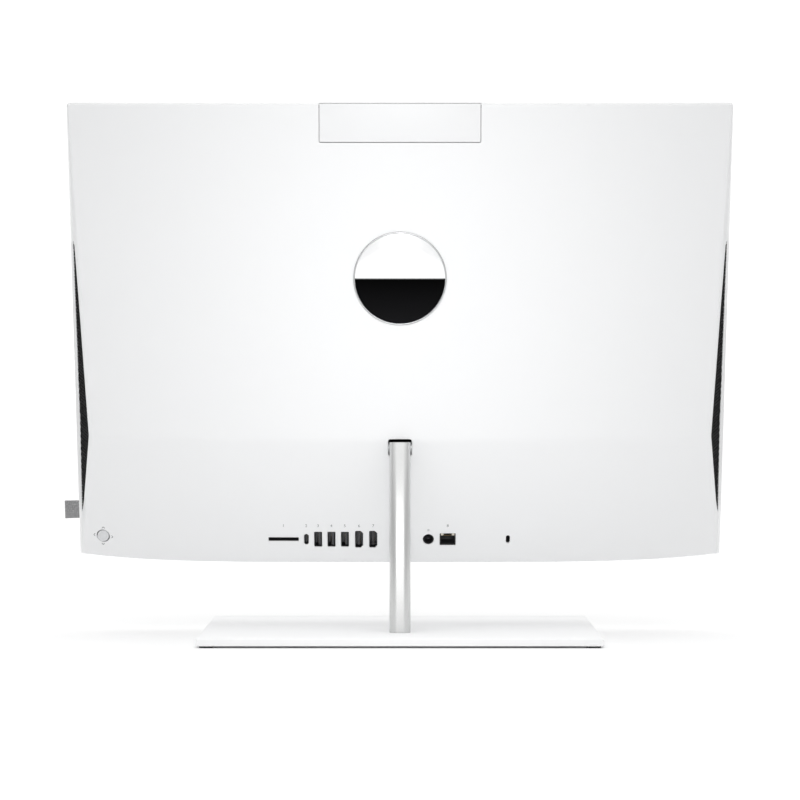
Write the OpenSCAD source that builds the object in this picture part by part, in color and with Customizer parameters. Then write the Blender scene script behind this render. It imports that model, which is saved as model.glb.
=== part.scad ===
// All-in-one desktop computer on a plate-and-post stand, with a pop-up camera and a rear menu joystick.
// Millimetres. +Z is up, the screen faces -Y and +X is to the right of someone facing the screen.
// The origin is the middle of the base, on the desk. It stands at rest with its screen leaning back.

/* [Housing] */
// Width of the housing
housing_width = 540.9; // [450:0.1:660]
// Height of the housing along the screen
housing_height = 382.3; // [318:0.1:460]
// Depth of the white front frame
frame_depth = 6.8; // [6.5:0.1:10]
// Depth of the rear cover along its top edge
top_depth = 8.6; // [8.2:0.1:14]
// Height of the crease across the rear cover
ridge_height = 111; // [104:1:125]
// Depth at the two ends of the crease
ridge_depth = 38; // [34:0.5:48]
// Extra depth in the middle of the crease
ridge_bulge = 14; // [8:0.5:20]
// Depth at the bottom corners
corner_depth = 8.9; // [8.5:0.1:14]
// Extra depth in the middle of the bottom edge
bottom_bulge = 24; // [20:0.5:30]
// Wall of the rear cover
cover_wall = 2.2; // [1.5:0.1:3]

/* [Screen] */
// Black border at the top and sides of the screen
screen_border = 7; // [5:0.5:12]
// Height of the cloth-covered speaker bar
chin_height = 78.8; // [76:0.1:90]

/* [Stand] */
// Width of the base plate
base_width = 321.5; // [260:0.5:390]
// Depth of the base plate
base_depth = 204.5; // [180:0.5:250]
// Thickness of the base plate
base_thickness = 6.1; // [5:0.1:9]
// Height of the rubber feet
foot_height = 1.6; // [1:0.1:3]
// Width of the neck
neck_width = 17; // [15:0.5:18]
// Front-to-back size of the neck
neck_depth = 12; // [10:0.5:13]
// Height of the tilt hinge above the desk
hinge_height = 155.6; // [150:0.1:190]
// Diameter of the tilt hinge pin
hinge_pin_d = 6.4; // [5:0.1:8]
// Angle that the screen leans back at rest
tilt_angle = 14; // [0:1:20]

/* [Pop-up camera] */
// Width of the camera housing
camera_width = 131; // [110:1:160]
// Height of the camera housing
camera_height = 30.8; // [26:0.1:38]
// How far the camera rises
camera_travel = 27; // [20:1:30]

/* [Rear controls] */
// Height of the socket row above the bottom edge
socket_row = 21.9; // [20:0.1:30]
// Diameter of the hole round the menu joystick
joystick_hole_d = 11.2; // [10.8:0.1:14]
// Radius of the round badge
badge_radius = 38; // [30:0.5:46]

/* [Cooling] */
// Side of the square blower
fan_size = 68; // [56:1:72]

/* [Hidden] */
$fn = 48;
touch = 0.05;      // assembly gap between fixed neighbours
run = 0.3;         // gap beside a moving piece
pin_play = 0.05;   // radial play of a pin in its bore
half_w = housing_width / 2;
top_v = housing_height;

// Layers behind the screen, counted from the glass
glass_n = [0.3, 1.0];
lcd_n = [1.1, 2.1];
backlight_n = [2.2, 4.2];
chassis_n = [4.3, 5.2];
flange_n = 5.3;
camera_n = 4.6;
board_n = [18.4, 20];
shelf_n = chassis_n[1] + touch;

// Tilt hinge, in the housing's own frame and in the part's frame
hinge_n = 36;
hinge_v = ridge_height - 10;
hinge_y = 0.9;
knuckle_r = 7;
base_corner = 1.5;
slot_half = neck_width / 2 + 1.1;
neck_foot_y = 51;
plate_top = foot_height + base_thickness;

// Side walls of the rear cover
foot_ridge = half_w - 2.65;
foot_top = half_w - 0.55;
foot_bottom = half_w - 1.55;
edge_ridge = half_w - 14.85;
edge_top = half_w - 1.25;
edge_bottom = half_w - 2.05;
cover_low = 0.8;
cover_high = top_v - 0.8;
wall_in = 1.7;
skin_in = 2.2;
rim_land = 12;

// Sockets: x of each one
card_x = 97;
usb_c_x = 78;
usb_a_x = [68.2, 57.1, 45.9];
video_x = [34.1, 22.3];
inlet_x = -23.6;
network_x = -39.7;
lock_x = -89.9;
joystick_x = half_w - 21.15;
joystick_v = 19.7;
joystick_n = 10.5;
button_x = half_w * 0.741;
button_n = 18;
badge_v = top_v - 139.9;
processor_x = -95;
processor_v = ridge_height + 39;
board_top = processor_v + 54;
pipe_n = 26.1;
pipe_r = 2.6;
fin_x = -(half_w - 32.5);
fan_x = fin_x + 14 + fan_size / 2;
fan_v = ridge_height - 27 + fan_size / 2;

// How far a point is between the crease (0) and the top or bottom edge (1)
function up_share(v) = max(0, (v - ridge_height) / (top_v - ridge_height));
function low_share(v) = max(0, (ridge_height - v) / ridge_height);
function mix(a, b, t) = a + (b - a) * t;
function three_way(v, ridge, top, bottom) =
    v > ridge_height ? mix(ridge, top, up_share(v)) : mix(ridge, bottom, low_share(v));
function edge_x(v) = three_way(v, edge_ridge, edge_top, edge_bottom);
function foot_x(v) = three_way(v, foot_ridge, foot_top, foot_bottom);
function edge_n(v) = three_way(v, ridge_depth, top_depth, corner_depth);
function bulge(v) = three_way(v, ridge_bulge, 0, bottom_bulge);
function roundness(v) = three_way(v, 2, 2, 4.5);
// Depth of the rear cover's outside at x and v
function surface_n(x, v) =
    edge_n(v) + bulge(v) * (1 - pow(min(1, abs(x) / edge_x(v)), roundness(v)));

// Local frame of the housing: x, depth n behind the glass (along y), height v (along z)
module housing() {
    translate([0, hinge_y, hinge_height])
        rotate([-tilt_angle, 0, 0])
            translate([0, -hinge_n, -hinge_v])
                children();
}

module block(x, n, v) {
    translate([x[0], n[0], v[0]]) cube([x[1] - x[0], n[1] - n[0], v[1] - v[0]]);
}

// A flat shape drawn in x and v, given depth from n[0] to n[1]
module slab(n) {
    translate([0, n[1], 0]) rotate([90, 0, 0]) linear_extrude(n[1] - n[0]) children();
}

// A profile drawn in n and v, given width from x[0] to x[1]
module across(x) {
    translate([x[0], 0, 0]) rotate([90, 0, 90]) linear_extrude(x[1] - x[0]) children();
}

module rod(x, v, n, r) {
    translate([x, n[1], v]) rotate([90, 0, 0]) cylinder(r = r, h = n[1] - n[0]);
}

module rod_x(x, n, v, r) {
    translate([x[0], n, v]) rotate([0, 90, 0]) cylinder(r = r, h = x[1] - x[0]);
}

module rod_v(x, n, v, r) {
    translate([x, n, v[0]]) cylinder(r = r, h = v[1] - v[0]);
}

// Rectangle with round corners, between two corners
module round_rect(x, v, r) {
    translate([x[0] + r, v[0]]) square([x[1] - x[0] - 2 * r, v[1] - v[0]]);
    translate([x[0], v[0] + r]) square([x[1] - x[0], v[1] - v[0] - 2 * r]);
    for (cx = [x[0] + r, x[1] - r], cv = [v[0] + r, v[1] - r])
        translate([cx, cv]) circle(r);
}

function span(centre, size) = [centre - size / 2, centre + size / 2];

// ---------------------------------------------------------------- stand

module stand_base() color("#eceef0") difference() {
    translate([0, 0, foot_height]) linear_extrude(base_thickness)
        round_rect(span(0, base_width), span(0, base_depth), base_corner);
    for (x = [-4.5, 4.5]) translate([x, neck_foot_y - 1, 0]) {
        cylinder(r = 2.7, h = plate_top + 1);
        cylinder(r = 4.3, h = foot_height + 2.9);
    }
}

module base_feet() color("#2b2c2e") {
    for (sx = [-1, 1], sy = [-1, 1])
        translate([sx * (base_width / 2 - 7.9), sy * (base_depth / 2 - 7), 0])
            linear_extrude(foot_height) round_rect(span(0, 11), span(0, 10), 3);
    cylinder(r = 12, h = foot_height);
}

// The post leans forward to the hinge, where a flat arm carries a round knuckle into the housing.
neck_top_y = 22;
neck_top_z = hinge_height + 4.9;
neck_lean = atan((neck_foot_y - neck_top_y) / (neck_top_z - plate_top));
module neck_column() color("#c9cbcd") difference() {
    union() {
        intersection() {
            translate([0, neck_foot_y, plate_top]) rotate([neck_lean, 0, 0])
                translate([0, 0, -20]) linear_extrude(neck_top_z + 60) {
                    for (x = [-1, 1]) translate([x * (neck_width - neck_depth) / 2, 0])
                        circle(neck_depth / 2);
                    square([neck_width - neck_depth, neck_depth], center = true);
                }
            translate([-30, -60, plate_top]) cube([60, 160, neck_top_z - plate_top]);
        }
        translate([0, hinge_y, hinge_height]) across([-6.5, 6.5])
            polygon([[0, -5.5], [14.2, -1.6], [19, -6], [26, -6], [26, 4.6], [18, 3.1], [0, 6]]);
        translate([0, hinge_y, hinge_height]) rod_x([-6.5, 6.5], 0, 0, knuckle_r);
    }
    translate([0, hinge_y, hinge_height]) rod_x([-9, 9], 0, 0, hinge_pin_d / 2);
    for (x = [-4.5, 4.5])
        translate([x, neck_foot_y - 1, plate_top - 1]) cylinder(r = 2.5 + pin_play, h = 14);
}

module neck_screws() color("#9b9da0") for (x = [-4.5, 4.5])
    translate([x, neck_foot_y - 1, 0]) difference() {
        union() {
            translate([0, 0, foot_height + 0.2]) cylinder(r = 4.1, h = 2.6);
            translate([0, 0, foot_height + 1]) cylinder(r = 2.5, h = 16);
        }
        translate([0, 0, foot_height]) cylinder(r = 1.5, h = 1.9, $fn = 6);
    }

module at_hinge() {
    translate([0, hinge_y, hinge_height]) children();
}

module hinge_pin() color("#8f9194") at_hinge() difference() {
    union() {
        rod_x([-14.6, 15.6], 0, 0, hinge_pin_d / 2);
        rod_x([-14.6, -12.2], 0, 0, 5.2);
    }
    rod_x([-15, -13.6], 0, 0, 1.6);
}

// A flat washer on each side of the knuckle and a dished spring washer outside each ear
module hinge_washers() color("#b4b6b8") at_hinge() difference() {
    for (x = [[-7.15, -6.55], [6.55, 7.15], [-12.1, -10.35], [10.35, 11.1]])
        rod_x(x, 0, 0, 6);
    rod_x([-13, 13], 0, 0, hinge_pin_d / 2 + pin_play);
}

module hinge_nut() color("#8f9194") at_hinge() difference() {
    translate([11.2, 0, 0]) rotate([0, 90, 0]) cylinder(r = 6, h = 3.8, $fn = 6);
    rod_x([11, 16], 0, 0, hinge_pin_d / 2 + pin_play);
}

// ---------------------------------------------------------------- housing, front

module hinge_bracket() color("#a7a9ac") housing() difference() {
    union() {
        slab([shelf_n, shelf_n + 2]) round_rect([-34, 34], [hinge_v - 31, hinge_v + 31], 5);
        for (x = [[-10.05, -7.45], [7.45, 10.05]]) {
            across(x) polygon([[shelf_n + 1, hinge_v - 17], [hinge_n, hinge_v - 8.5],
                [hinge_n, hinge_v + 8.5], [shelf_n + 1, hinge_v + 17]]);
            rod_x(x, hinge_n, hinge_v, 8.5);
        }
    }
    rod_x([-12, 12], hinge_n, hinge_v, hinge_pin_d / 2 + pin_play);
    for (x = [-27, 27], v = [-24, 24]) rod(x, hinge_v + v, [0, 12], 1.6);
}

module bracket_screws() color("#77797c") housing()
    for (x = [-27, 27], v = [-24, 24]) difference() {
        union() {
            rod(x, hinge_v + v, [shelf_n + 2.05, shelf_n + 4], 3.2);
            rod(x, hinge_v + v, [chassis_n[0] + 0.1, shelf_n + 3], 1.5);
        }
        rod(x, hinge_v + v, [shelf_n + 2.9, shelf_n + 5], 1);
    }

module front_frame() color("#eef0f2") housing() difference() {
    slab([0, frame_depth]) round_rect([-half_w, half_w], [0, top_v], 2.2);
    slab([-1, flange_n]) difference() {
        round_rect([-half_w + 1.6, half_w - 1.6], [1.6, top_v - 1.6], 1);
        translate([-half_w, chin_height - 1.6]) square([housing_width, 1.5]);
    }
    block([-half_w + 1.6, half_w - 1.6], [4.1, flange_n], [chin_height - 3, chin_height + 1]);
    slab([flange_n - 1, frame_depth + 1])
        round_rect([-half_w + 6.5, half_w - 6.5], [6.5, top_v - 6.5], 1);
    block(span(0, camera_width + 1), [camera_n - 0.3, frame_depth + 1], [top_v - 8, top_v + 1]);
    block([half_w - 2, half_w + 1], [1.5, 3.3], [30, 46]);
}

module front_glass() color("#101114", 0.9) housing() slab(glass_n)
    round_rect([-half_w + 1.7, half_w - 1.7], [chin_height + 0.1, top_v - 1.7], 0.8);

panel_overlap = 2.4;
screen_x = half_w - screen_border + panel_overlap;
screen_v = [chin_height + 0.5, top_v - screen_border + panel_overlap];
module lcd_panel() color("#17181c") housing() slab(lcd_n)
    round_rect([-screen_x, screen_x], screen_v, 0.8);

module backlight_unit() color("#d8dadd") housing() difference() {
    slab(backlight_n) round_rect([-screen_x, screen_x], screen_v, 0.8);
    slab([backlight_n[0] - 0.1, backlight_n[0] + 0.7])
        round_rect([-screen_x + 2, screen_x - 2], [screen_v[0] + 2, screen_v[1] - 2], 0.8);
}

module main_chassis() color("#bfc3c7") housing() difference() {
    union() {
        slab(chassis_n)
            round_rect([-half_w + 2.2, half_w - 2.2], [chin_height + 0.3, top_v - 2.2], 1);
        block([-152, 152], chassis_n, [5, chin_height + 2]);
    }
    block(span(0, camera_width + 4), [0, 10], [top_v - camera_height - 1.5, top_v]);
    for (x = [-27, 27], v = [-24, 24]) rod(x, hinge_v + v, [0, 12], 1.6);
    for (side = [-1, 1], k = [0:2]) slab([0, 10])
        round_rect(span(side * (half_w * 0.35 + k * 58), 48), [top_v - 110, top_v - 70], 8);
}

module speaker_grille() color("#3c3e42") housing() difference() {
    union() {
        slab([1.9, 3.9]) round_rect([-half_w + 2, half_w - 2], [2, chin_height - 2], 1);
        block([-half_w + 4, half_w - 4], [3.5, flange_n - touch], [2, 4.5]);
    }
    for (side = [-1, 1], row = [0:6], col = [0:3])
        block(span(side * (half_w - 72) + (col - 1.5) * 19, 15), [1, 5],
            span(18 + row * 7, 2));
}

module grille_fabric() color("#8b8d90") housing()
    slab([0.5, 1.85]) round_rect([-half_w + 1.9, half_w - 1.9], [1.9, chin_height - 1.9], 1.2);

// A woven loop label that sticks out through the frame's side
module side_fabric_tag() color("#9a9b9d") housing() {
    block([half_w - 1.9, half_w + 12], [1.65, 3.15], [30.4, 45.6]);
    rod_v(half_w + 12, 2.4, [30.4, 45.6], 0.75);
}

// ---------------------------------------------------------------- housing, rear cover

column_count = 20;
rows = concat([for (k = [0:3]) mix(cover_low, ridge_height, k / 3)],
    [for (k = [1:4]) mix(ridge_height, cover_high, k / 4)]);
inner_rows = concat([cover_low + cover_wall], [for (k = [1:6]) rows[k]], [cover_high - rim_land]);

function skin_share(i) = sin(90 * (2 * i / column_count - 1));
function outer_row(v) = concat([[-foot_x(v), frame_depth, v]],
    [for (i = [0:column_count]) let (x = skin_share(i) * edge_x(v)) [x, surface_n(x, v), v]],
    [[foot_x(v), frame_depth, v]]);
function inner_row(v) = concat([[-foot_x(v) + wall_in, frame_depth, v]],
    [for (i = [0:column_count]) let (x = skin_share(i) * (edge_x(v) - skin_in))
        [x, max(surface_n(x, v) - cover_wall, frame_depth + 0.5), v]],
    [[foot_x(v) - wall_in, frame_depth, v]]);

// The skin, its two side walls and the flat rim that meets the frame
module cover_shell() {
    wide = column_count + 3;
    last = len(rows) - 1;
    inside = wide * (last + 1);
    points = [for (v = rows) each outer_row(v), for (v = inner_rows) each inner_row(v)];
    quads = [for (j = [0:last - 1], i = [0:wide - 2])
        [j * wide + i, j * wide + i + 1, (j + 1) * wide + i + 1, (j + 1) * wide + i]];
    skin = [for (q = quads) each [[q[0], q[1], q[2]], [q[0], q[2], q[3]]]];
    lining = [for (t = skin) [t[2] + inside, t[1] + inside, t[0] + inside]];
    ends = [[for (i = [wide - 1:-1:0]) i], [for (i = [0:wide - 1]) last * wide + i],
        [for (i = [0:wide - 1]) inside + i],
        [for (i = [wide - 1:-1:0]) inside + last * wide + i]];
    left = [for (j = [0:last - 1])
        [j * wide, (j + 1) * wide, inside + (j + 1) * wide, inside + j * wide]];
    right = [for (q = left) [q[3] + wide - 1, q[2] + wide - 1, q[1] + wide - 1, q[0] + wide - 1]];
    b = last * wide;
    rims = [[0, inside, inside + wide - 1, wide - 1],
        [b + wide - 1, inside + b + wide - 1, inside + b, b]];
    polyhedron(points = points, faces = concat(skin, lining, ends, left, right, rims));
}

// Openings for the sockets, shared by the cover: each is x, width, height
function socket_list() = concat([[card_x, 25.3, 3.3], [usb_c_x, 3.9, 9.5]],
    [for (x = usb_a_x) [x, 6.6, 13.6]], [for (x = video_x) [x, 6.7, 15.3]],
    [[network_x, 13.3, 10.8], [lock_x, 3.3, 6.9]]);

// Side opening, as n and v round its edge
vent_outline = [[8, 40], [11, 42], [15.4, 50], [22.7, 75], [33.5, ridge_height],
    [18.5, 220], [12, 262], [8, 266]];

module cover_slope() {
    translate([0, surface_n(0, badge_v), badge_v])
        rotate([atan((surface_n(0, badge_v - 20) - surface_n(0, badge_v + 20)) / 40), 0, 0])
            children();
}

module rear_cover() color("#f4f5f7") housing() difference() {
    cover_shell();
    block([-slot_half, slot_half], [20, 70], [ridge_height - 13.5, ridge_height + 1.2]);
    block(span(0, camera_width + 0.8), [0, 30], [top_v - camera_height - 0.5, top_v + 1]);
    for (s = socket_list())
        block(span(s[0], s[1]), [15, 60], span(socket_row, s[2]));
    rod(inlet_x, socket_row, [15, 60], 4.6);
    rod(inlet_x, socket_row + 8.4, [15, 60], 1);
    rod(joystick_x, joystick_v, [9, 40], joystick_hole_d / 2);
    block(span(button_x, 12.6), span(button_n, 5.6), [-1, 5]);
    cover_slope() rod(0, 0, [-0.75, 4], badge_radius + 0.3);
    for (side = [-1, 1]) scale([side, 1, 1])
        across([half_w - 22, half_w + 4]) polygon(vent_outline);
}

// A perforated panel behind each side opening, parallel to the side wall
wall_top = [edge_x(ridge_height) - skin_in, ridge_depth - cover_wall];
wall_foot = foot_x(ridge_height) - wall_in;
wall_angle = atan((wall_foot - wall_top[0]) / (wall_top[1] - frame_depth));
function along_wall(n) = (n - frame_depth) / cos(wall_angle);
function vent_reach(v) = v < ridge_height
    ? mix(along_wall(10), along_wall(33.5), (v - 40) / (ridge_height - 40))
    : mix(along_wall(33.5), along_wall(11), (v - ridge_height) / (266 - ridge_height));
module side_vent(side) {
    color("#26272a") housing() scale([side, 1, 1])
        translate([wall_foot - 0.25, frame_depth, 0]) rotate([0, 0, wall_angle])
            across([-1, 0]) difference() {
                polygon([[0.7, 37], [along_wall(13), 40], [along_wall(34.6), ridge_height - 2],
                    [along_wall(34.6), ridge_height + 4], [along_wall(13), 266], [0.7, 269]]);
                for (k = [0:40]) let (v = 46 + k * 5.2, reach = vent_reach(v))
                    for (w = [3.4 + (k % 2) * 2.6:5.2:reach - 1.5])
                        translate([w, v]) circle(1.9, $fn = 6);
            }
}
module side_vent_right() side_vent(1);
module side_vent_left() side_vent(-1);

module round_badge() color("#dfe1e4") housing() cover_slope() difference() {
    rod(0, 0, [-0.7, 0.5], badge_radius);
    rod(0, 0, [0.2, 1], badge_radius - 1.2);
}

// ---------------------------------------------------------------- pop-up camera

camera_v = top_v - camera_height;
cap_n = [surface_n(0, camera_v) - 0.25, top_depth - 0.2];
module camera_rear_cap() color("#f4f5f7") housing() across(span(0, camera_width))
    polygon([[cap_n[0] - 1.6, camera_v], [cap_n[0], camera_v], [cap_n[1], top_v - 0.6],
        [cap_n[1] - 0.8, top_v - 0.2], [cap_n[1] - 1.6, top_v - 0.2]]);

lens_v = top_v - 13;
module camera_housing() color("#1b1c1f") housing() difference() {
    across(span(0, camera_width - 0.4))
        polygon([[camera_n, camera_v], [cap_n[0] - 1.65, camera_v],
            [cap_n[1] - 1.65, top_v - 0.2], [camera_n, top_v - 0.2]]);
    across(span(0, camera_width - 3))
        polygon([[camera_n + 0.9, camera_v + 1.4], [30, camera_v + 1.4],
            [30, top_v - 6], [camera_n + 0.9, top_v - 6]]);
    rod(0, lens_v, [0, 10], 3.1);
    for (x = [-14, 14]) rod(x, lens_v, [0, 10], 1.2);
    for (x = [-40, 40]) block(span(x, 8), [0, 10], span(lens_v, 0.9));
}

module camera_lens() color("#0b0c10") housing() difference() {
    union() {
        rod(0, lens_v, [camera_n + 0.1, camera_n + 1.2], 3);
        rod(0, lens_v, [camera_n + 0.95, camera_n + 2.2], 4.2);
    }
    rod(0, lens_v, [camera_n - 1, camera_n + 0.6], 1.8);
}

module camera_board() color("#1f5a3a") housing()
    block([-24, 24], [camera_n + 2.25, camera_n + 3.05], [camera_v + 8, top_v - 8]);

leg_v = [camera_v - 35 - camera_travel, camera_v - 0.05];
leg_n = [6.2, 8.2];
module camera_carriage() color("#9ea1a4") housing() {
    for (x = [[-60, -52], [52, 60]]) block(x, leg_n, leg_v);
    block([-60, 60], leg_n, [camera_v - 6.4, camera_v - 0.05]);
    block([-2.5, 2.5], leg_n, [camera_v - 18, camera_v - 6]);
}

module camera_rails() color("#d4d6d8") housing() for (side = [-1, 1]) scale([side, 1, 1])
    difference() {
        block([50.4, 61.6], [shelf_n, leg_n[1] + 1.3], [leg_v[0] - 4, camera_v - 7.2]);
        block([52 - run, 60 + run], [leg_n[0] - run, leg_n[1] + run], [leg_v[0] - 1, camera_v]);
    }

// A push-to-open catch: the carriage's tongue drops into it
module camera_latch() color("#26272a") housing() difference() {
    block([-9, 9], [shelf_n, leg_n[1] + 1.5], [camera_v - 50, camera_v - 8]);
    block([-2.5 - run, 2.5 + run], [leg_n[0] - run, leg_n[1] + run], [camera_v - 19, camera_v]);
}

// ---------------------------------------------------------------- menu joystick

pivot = [joystick_x, joystick_n, joystick_v];
pivot_r = 0.8;
yoke_n = [-1.2, 1.2];
module at_pivot() {
    housing() translate(pivot) children();
}

module joystick_base() color("#2c2d30") at_pivot() difference() {
    union() {
        block([-7, 7], [4 - joystick_n, 6 - joystick_n], [-7, 7]);
        for (x = [[-6.8, -4.9], [4.9, 6.8]]) block(x, [5 - joystick_n, 1.9], [-2.2, 2.2]);
    }
    rod_x([-8, 8], 0, 0, pivot_r + pin_play);
}

module joystick_yoke() color("#6d6f73") at_pivot() {
    difference() {
        block([-4.5, 4.5], yoke_n, [-4.5, 4.5]);
        block([-3.1, 3.1], [-2, 2], [-3.1, 3.1]);
        rod_v(0, 0, [-5, 5], pivot_r + pin_play);
    }
    for (x = [[-6.6, -4.2], [4.2, 6.6]]) rod_x(x, 0, 0, pivot_r);
}

module joystick_stem() color("#55575b") at_pivot() {
    rod_v(0, 0, [-4.3, 4.3], pivot_r);
    rod(0, 0, [-2, 2], 2.2);
    rod(0, 0, [0, 5.6], 1.5);
}

cap_r = joystick_hole_d / 2 - 0.7;
cap_top = surface_n(joystick_x, joystick_v) - joystick_n + 0.4;
module joystick_cap() color("#e6e8ea") at_pivot() rotate([-90, 0, 0]) difference() {
    rotate_extrude() polygon([[0, 3.4], [2.8, 3.4], [2.8, cap_top - 2.4], [cap_r, cap_top - 2.4],
        [cap_r, cap_top - 0.5], [cap_r - 0.5, cap_top], [cap_r - 1.1, cap_top], [0, cap_top - 0.7]]);
    translate([0, 0, 3]) cylinder(r = 1.5 + pin_play, h = 3.4);
}

// ---------------------------------------------------------------- electronics

post_places = [[-144, 14], [109, 14], [-144, board_top - 6], [-48, board_top - 6],
    [109, 72], [-48, 84]];
module motherboard() color("#1d3b2a") housing() difference() {
    slab(board_n) {
        round_rect([-150, 115], [8, 76], 2);
        round_rect([-150, -42], [60, board_top], 2);
    }
    for (p = post_places) rod(p[0], p[1], [0, 40], 1.6);
}

module board_standoffs() color("#c4a95a") housing() for (p = post_places) difference() {
    rod(p[0], p[1], [shelf_n, board_n[0] - touch], 3);
    rod(p[0], p[1], [board_n[0] - 8, 40], 1.4 + pin_play);
}

module board_screws() color("#9b9da0") housing() for (p = post_places) difference() {
    union() {
        rod(p[0], p[1], [board_n[1] + touch, board_n[1] + 1.7], 2.8);
        rod(p[0], p[1], [board_n[0] - 6, board_n[1] + 1], 1.4);
    }
    rod(p[0], p[1], [board_n[1] + 0.9, board_n[1] + 3], 0.9);
}

module processor() color("#3a3d42") housing() {
    block(span(processor_x, 36), [board_n[1] + touch, board_n[1] + 0.9], span(processor_v, 36));
    block(span(processor_x, 16), [board_n[1] + 0.9, board_n[1] + 1.3], span(processor_v, 12));
}

plate_n = [board_n[1] + 1.4, pipe_n - pipe_r - touch];
module cold_plate() color("#b87348") housing() slab(plate_n)
    round_rect(span(processor_x, 46), span(processor_v, 46), 3);

pipe_bend = 12;
pipe_v = processor_v + 15;
module heat_pipe() color("#b5764c") housing() {
    rod_x([fin_x + pipe_bend, processor_x + 24], pipe_n, pipe_v, pipe_r);
    translate([fin_x + pipe_bend, pipe_n, pipe_v - pipe_bend]) rotate([90, 0, 0])
        rotate([0, 0, 90]) rotate_extrude(angle = 90) translate([pipe_bend, 0]) circle(pipe_r);
    rod_v(fin_x, pipe_n, [fan_v - fan_size / 2 + 4, pipe_v - pipe_bend], pipe_r);
}

fin_v = [fan_v - fan_size / 2 + 2, fan_v + fan_size / 2 - 2];
module fin_stack() color("#b0b3b6") housing() difference() {
    union() {
        for (n = [15, 28.4]) block(span(fin_x, 20), [n, n + 0.6], fin_v);
        for (v = [fin_v[0]:4:fin_v[1]]) block(span(fin_x, 20), [15.3, 28.7], [v, v + 0.6]);
    }
    rod_v(fin_x, pipe_n, [0, 300], pipe_r + pin_play);
}

fan_n = [13, 25];
module fan_housing() color("#2a2b2e") housing() {
    difference() {
        block(span(fan_x, fan_size), fan_n, span(fan_v, fan_size));
        rod(fan_x, fan_v, [fan_n[0] + 1.2, fan_n[1] - 1.2], fan_size / 2 - 4);
        rod(fan_x, fan_v, [fan_n[1] - 2, fan_n[1] + 1], fan_size / 2 - 14);
        block([fan_x - fan_size / 2 - 1, fan_x - fan_size / 4], [fan_n[0] + 1.2, fan_n[1] - 1.2],
            span(fan_v, fan_size - 12));
    }
    rod(fan_x, fan_v, [fan_n[0] + 0.6, fan_n[1] - 4], 1.5);
    for (x = [-1, 1], v = [-1, 1])
        rod(fan_x + x * (fan_size / 2 - 5), fan_v + v * (fan_size / 2 - 5),
            [shelf_n, fan_n[0] + 0.5], 3);
}

blade_count = 13;
rotor_n = [fan_n[0] + 1.7, fan_n[1] - 2];
module fan_rotor() color("#1a1b1d") housing() difference() {
    union() {
        rod(fan_x, fan_v, [rotor_n[0], rotor_n[1]], 10);
        rod(fan_x, fan_v, [rotor_n[0], rotor_n[0] + 0.8], fan_size / 2 - 7);
        for (k = [0:blade_count - 1])
            translate([fan_x, 0, fan_v]) rotate([0, k * 360 / blade_count, 0])
                block([8, fan_size / 2 - 7.4], [rotor_n[0] + 0.3, rotor_n[1] - 1], [-0.4, 0.4]);
    }
    rod(fan_x, fan_v, [0, 40], 1.5 + pin_play);
}

module memory_modules() color("#23663f") housing() for (x = [0, 75]) {
    block([x - 40, x + 30], [board_n[1] + touch, board_n[1] + 4], [36, 40]);
    block([x - 39, x + 29], [board_n[1] + 2, board_n[1] + 3], [39, 69]);
    for (k = [0:3]) block([x - 36 + k * 16, x - 24 + k * 16], [board_n[1] + 2.5, board_n[1] + 4.2],
        [47, 60]);
    for (e = [x - 40, x + 28]) block([e, e + 2], [board_n[1] + touch, board_n[1] + 3.4], [38, 64]);
}

drive_foot = board_top - 29;
module solid_state_drive() color("#1c1d20") housing() {
    block([-136, -132], [board_n[1] + touch, board_n[1] + 3.6], [drive_foot, drive_foot + 23]);
    block([-133, -56], [board_n[1] + 1.4, board_n[1] + 2.2], [drive_foot + 0.5, drive_foot + 22.5]);
    for (k = [0:2]) block([-128 + k * 22, -112 + k * 22], [board_n[1] + 2, board_n[1] + 3.4],
        [drive_foot + 4, drive_foot + 19]);
    rod(-59, drive_foot + 15, [board_n[1] + touch, board_n[1] + 1.5], 2);
}

module wireless_card() color("#2a6b46") housing() {
    block([-145, -123], [board_n[1] + touch, board_n[1] + 3.2], [26, 30]);
    block([-145, -123], [board_n[1] + 1.4, board_n[1] + 2.2], [29, 58]);
    block([-142, -126], [board_n[1] + 2, board_n[1] + 3.4], [34, 52]);
    rod(-134, 55, [board_n[1] + touch, board_n[1] + 1.5], 2);
}

module coin_cell() color("#c8cacc") housing() {
    rod(-100, 50, [board_n[1] + touch, board_n[1] + 1], 11);
    rod(-100, 50, [board_n[1] + 0.9, board_n[1] + 4.2], 10);
}

drive_x = [half_w - 140, half_w - 70];
drive_v = [92, 192];
module hard_drive() color("#8d9094") housing() {
    slab([8, 15]) round_rect(drive_x, drive_v, 2);
    slab([14.5, 15.4]) round_rect([drive_x[0] + 6, drive_x[1] - 6], [98, 170], 5);
}

module drive_bracket() color("#a7a9ac") housing() difference() {
    block([drive_x[0] - 1.4, drive_x[1] + 1.4], [shelf_n, 13], [drive_v[0] - 1.4, drive_v[1] + 1.4]);
    block([drive_x[0] - touch, drive_x[1] + touch], [8 - touch, 20],
        [drive_v[0] - touch, drive_v[1] + touch]);
    for (k = [0, 1]) block([drive_x[0] + 10, drive_x[1] - 10], [0, 20],
        [drive_v[0] + 8 + k * 46, drive_v[0] + 46 + k * 46]);
}

speaker_x = [half_w - 113, half_w - 31];
module speaker(side) {
    color("#232427") housing() scale([side, 1, 1]) difference() {
        slab([4, 15]) round_rect(speaker_x, [9, 72], 4);
        for (x = [speaker_x[0] + 22, speaker_x[1] - 22])
            translate([x, 5.9, 40]) rotate([90, 0, 0]) cylinder(r1 = 7, r2 = 17, h = 2.5);
    }
}
module speaker_right() speaker(1);
module speaker_left() speaker(-1);

// Depth at which a socket's face stands, just under the cover's outside
function face_n(x, h) = surface_n(x, socket_row - h / 2) - 0.5;

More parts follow.
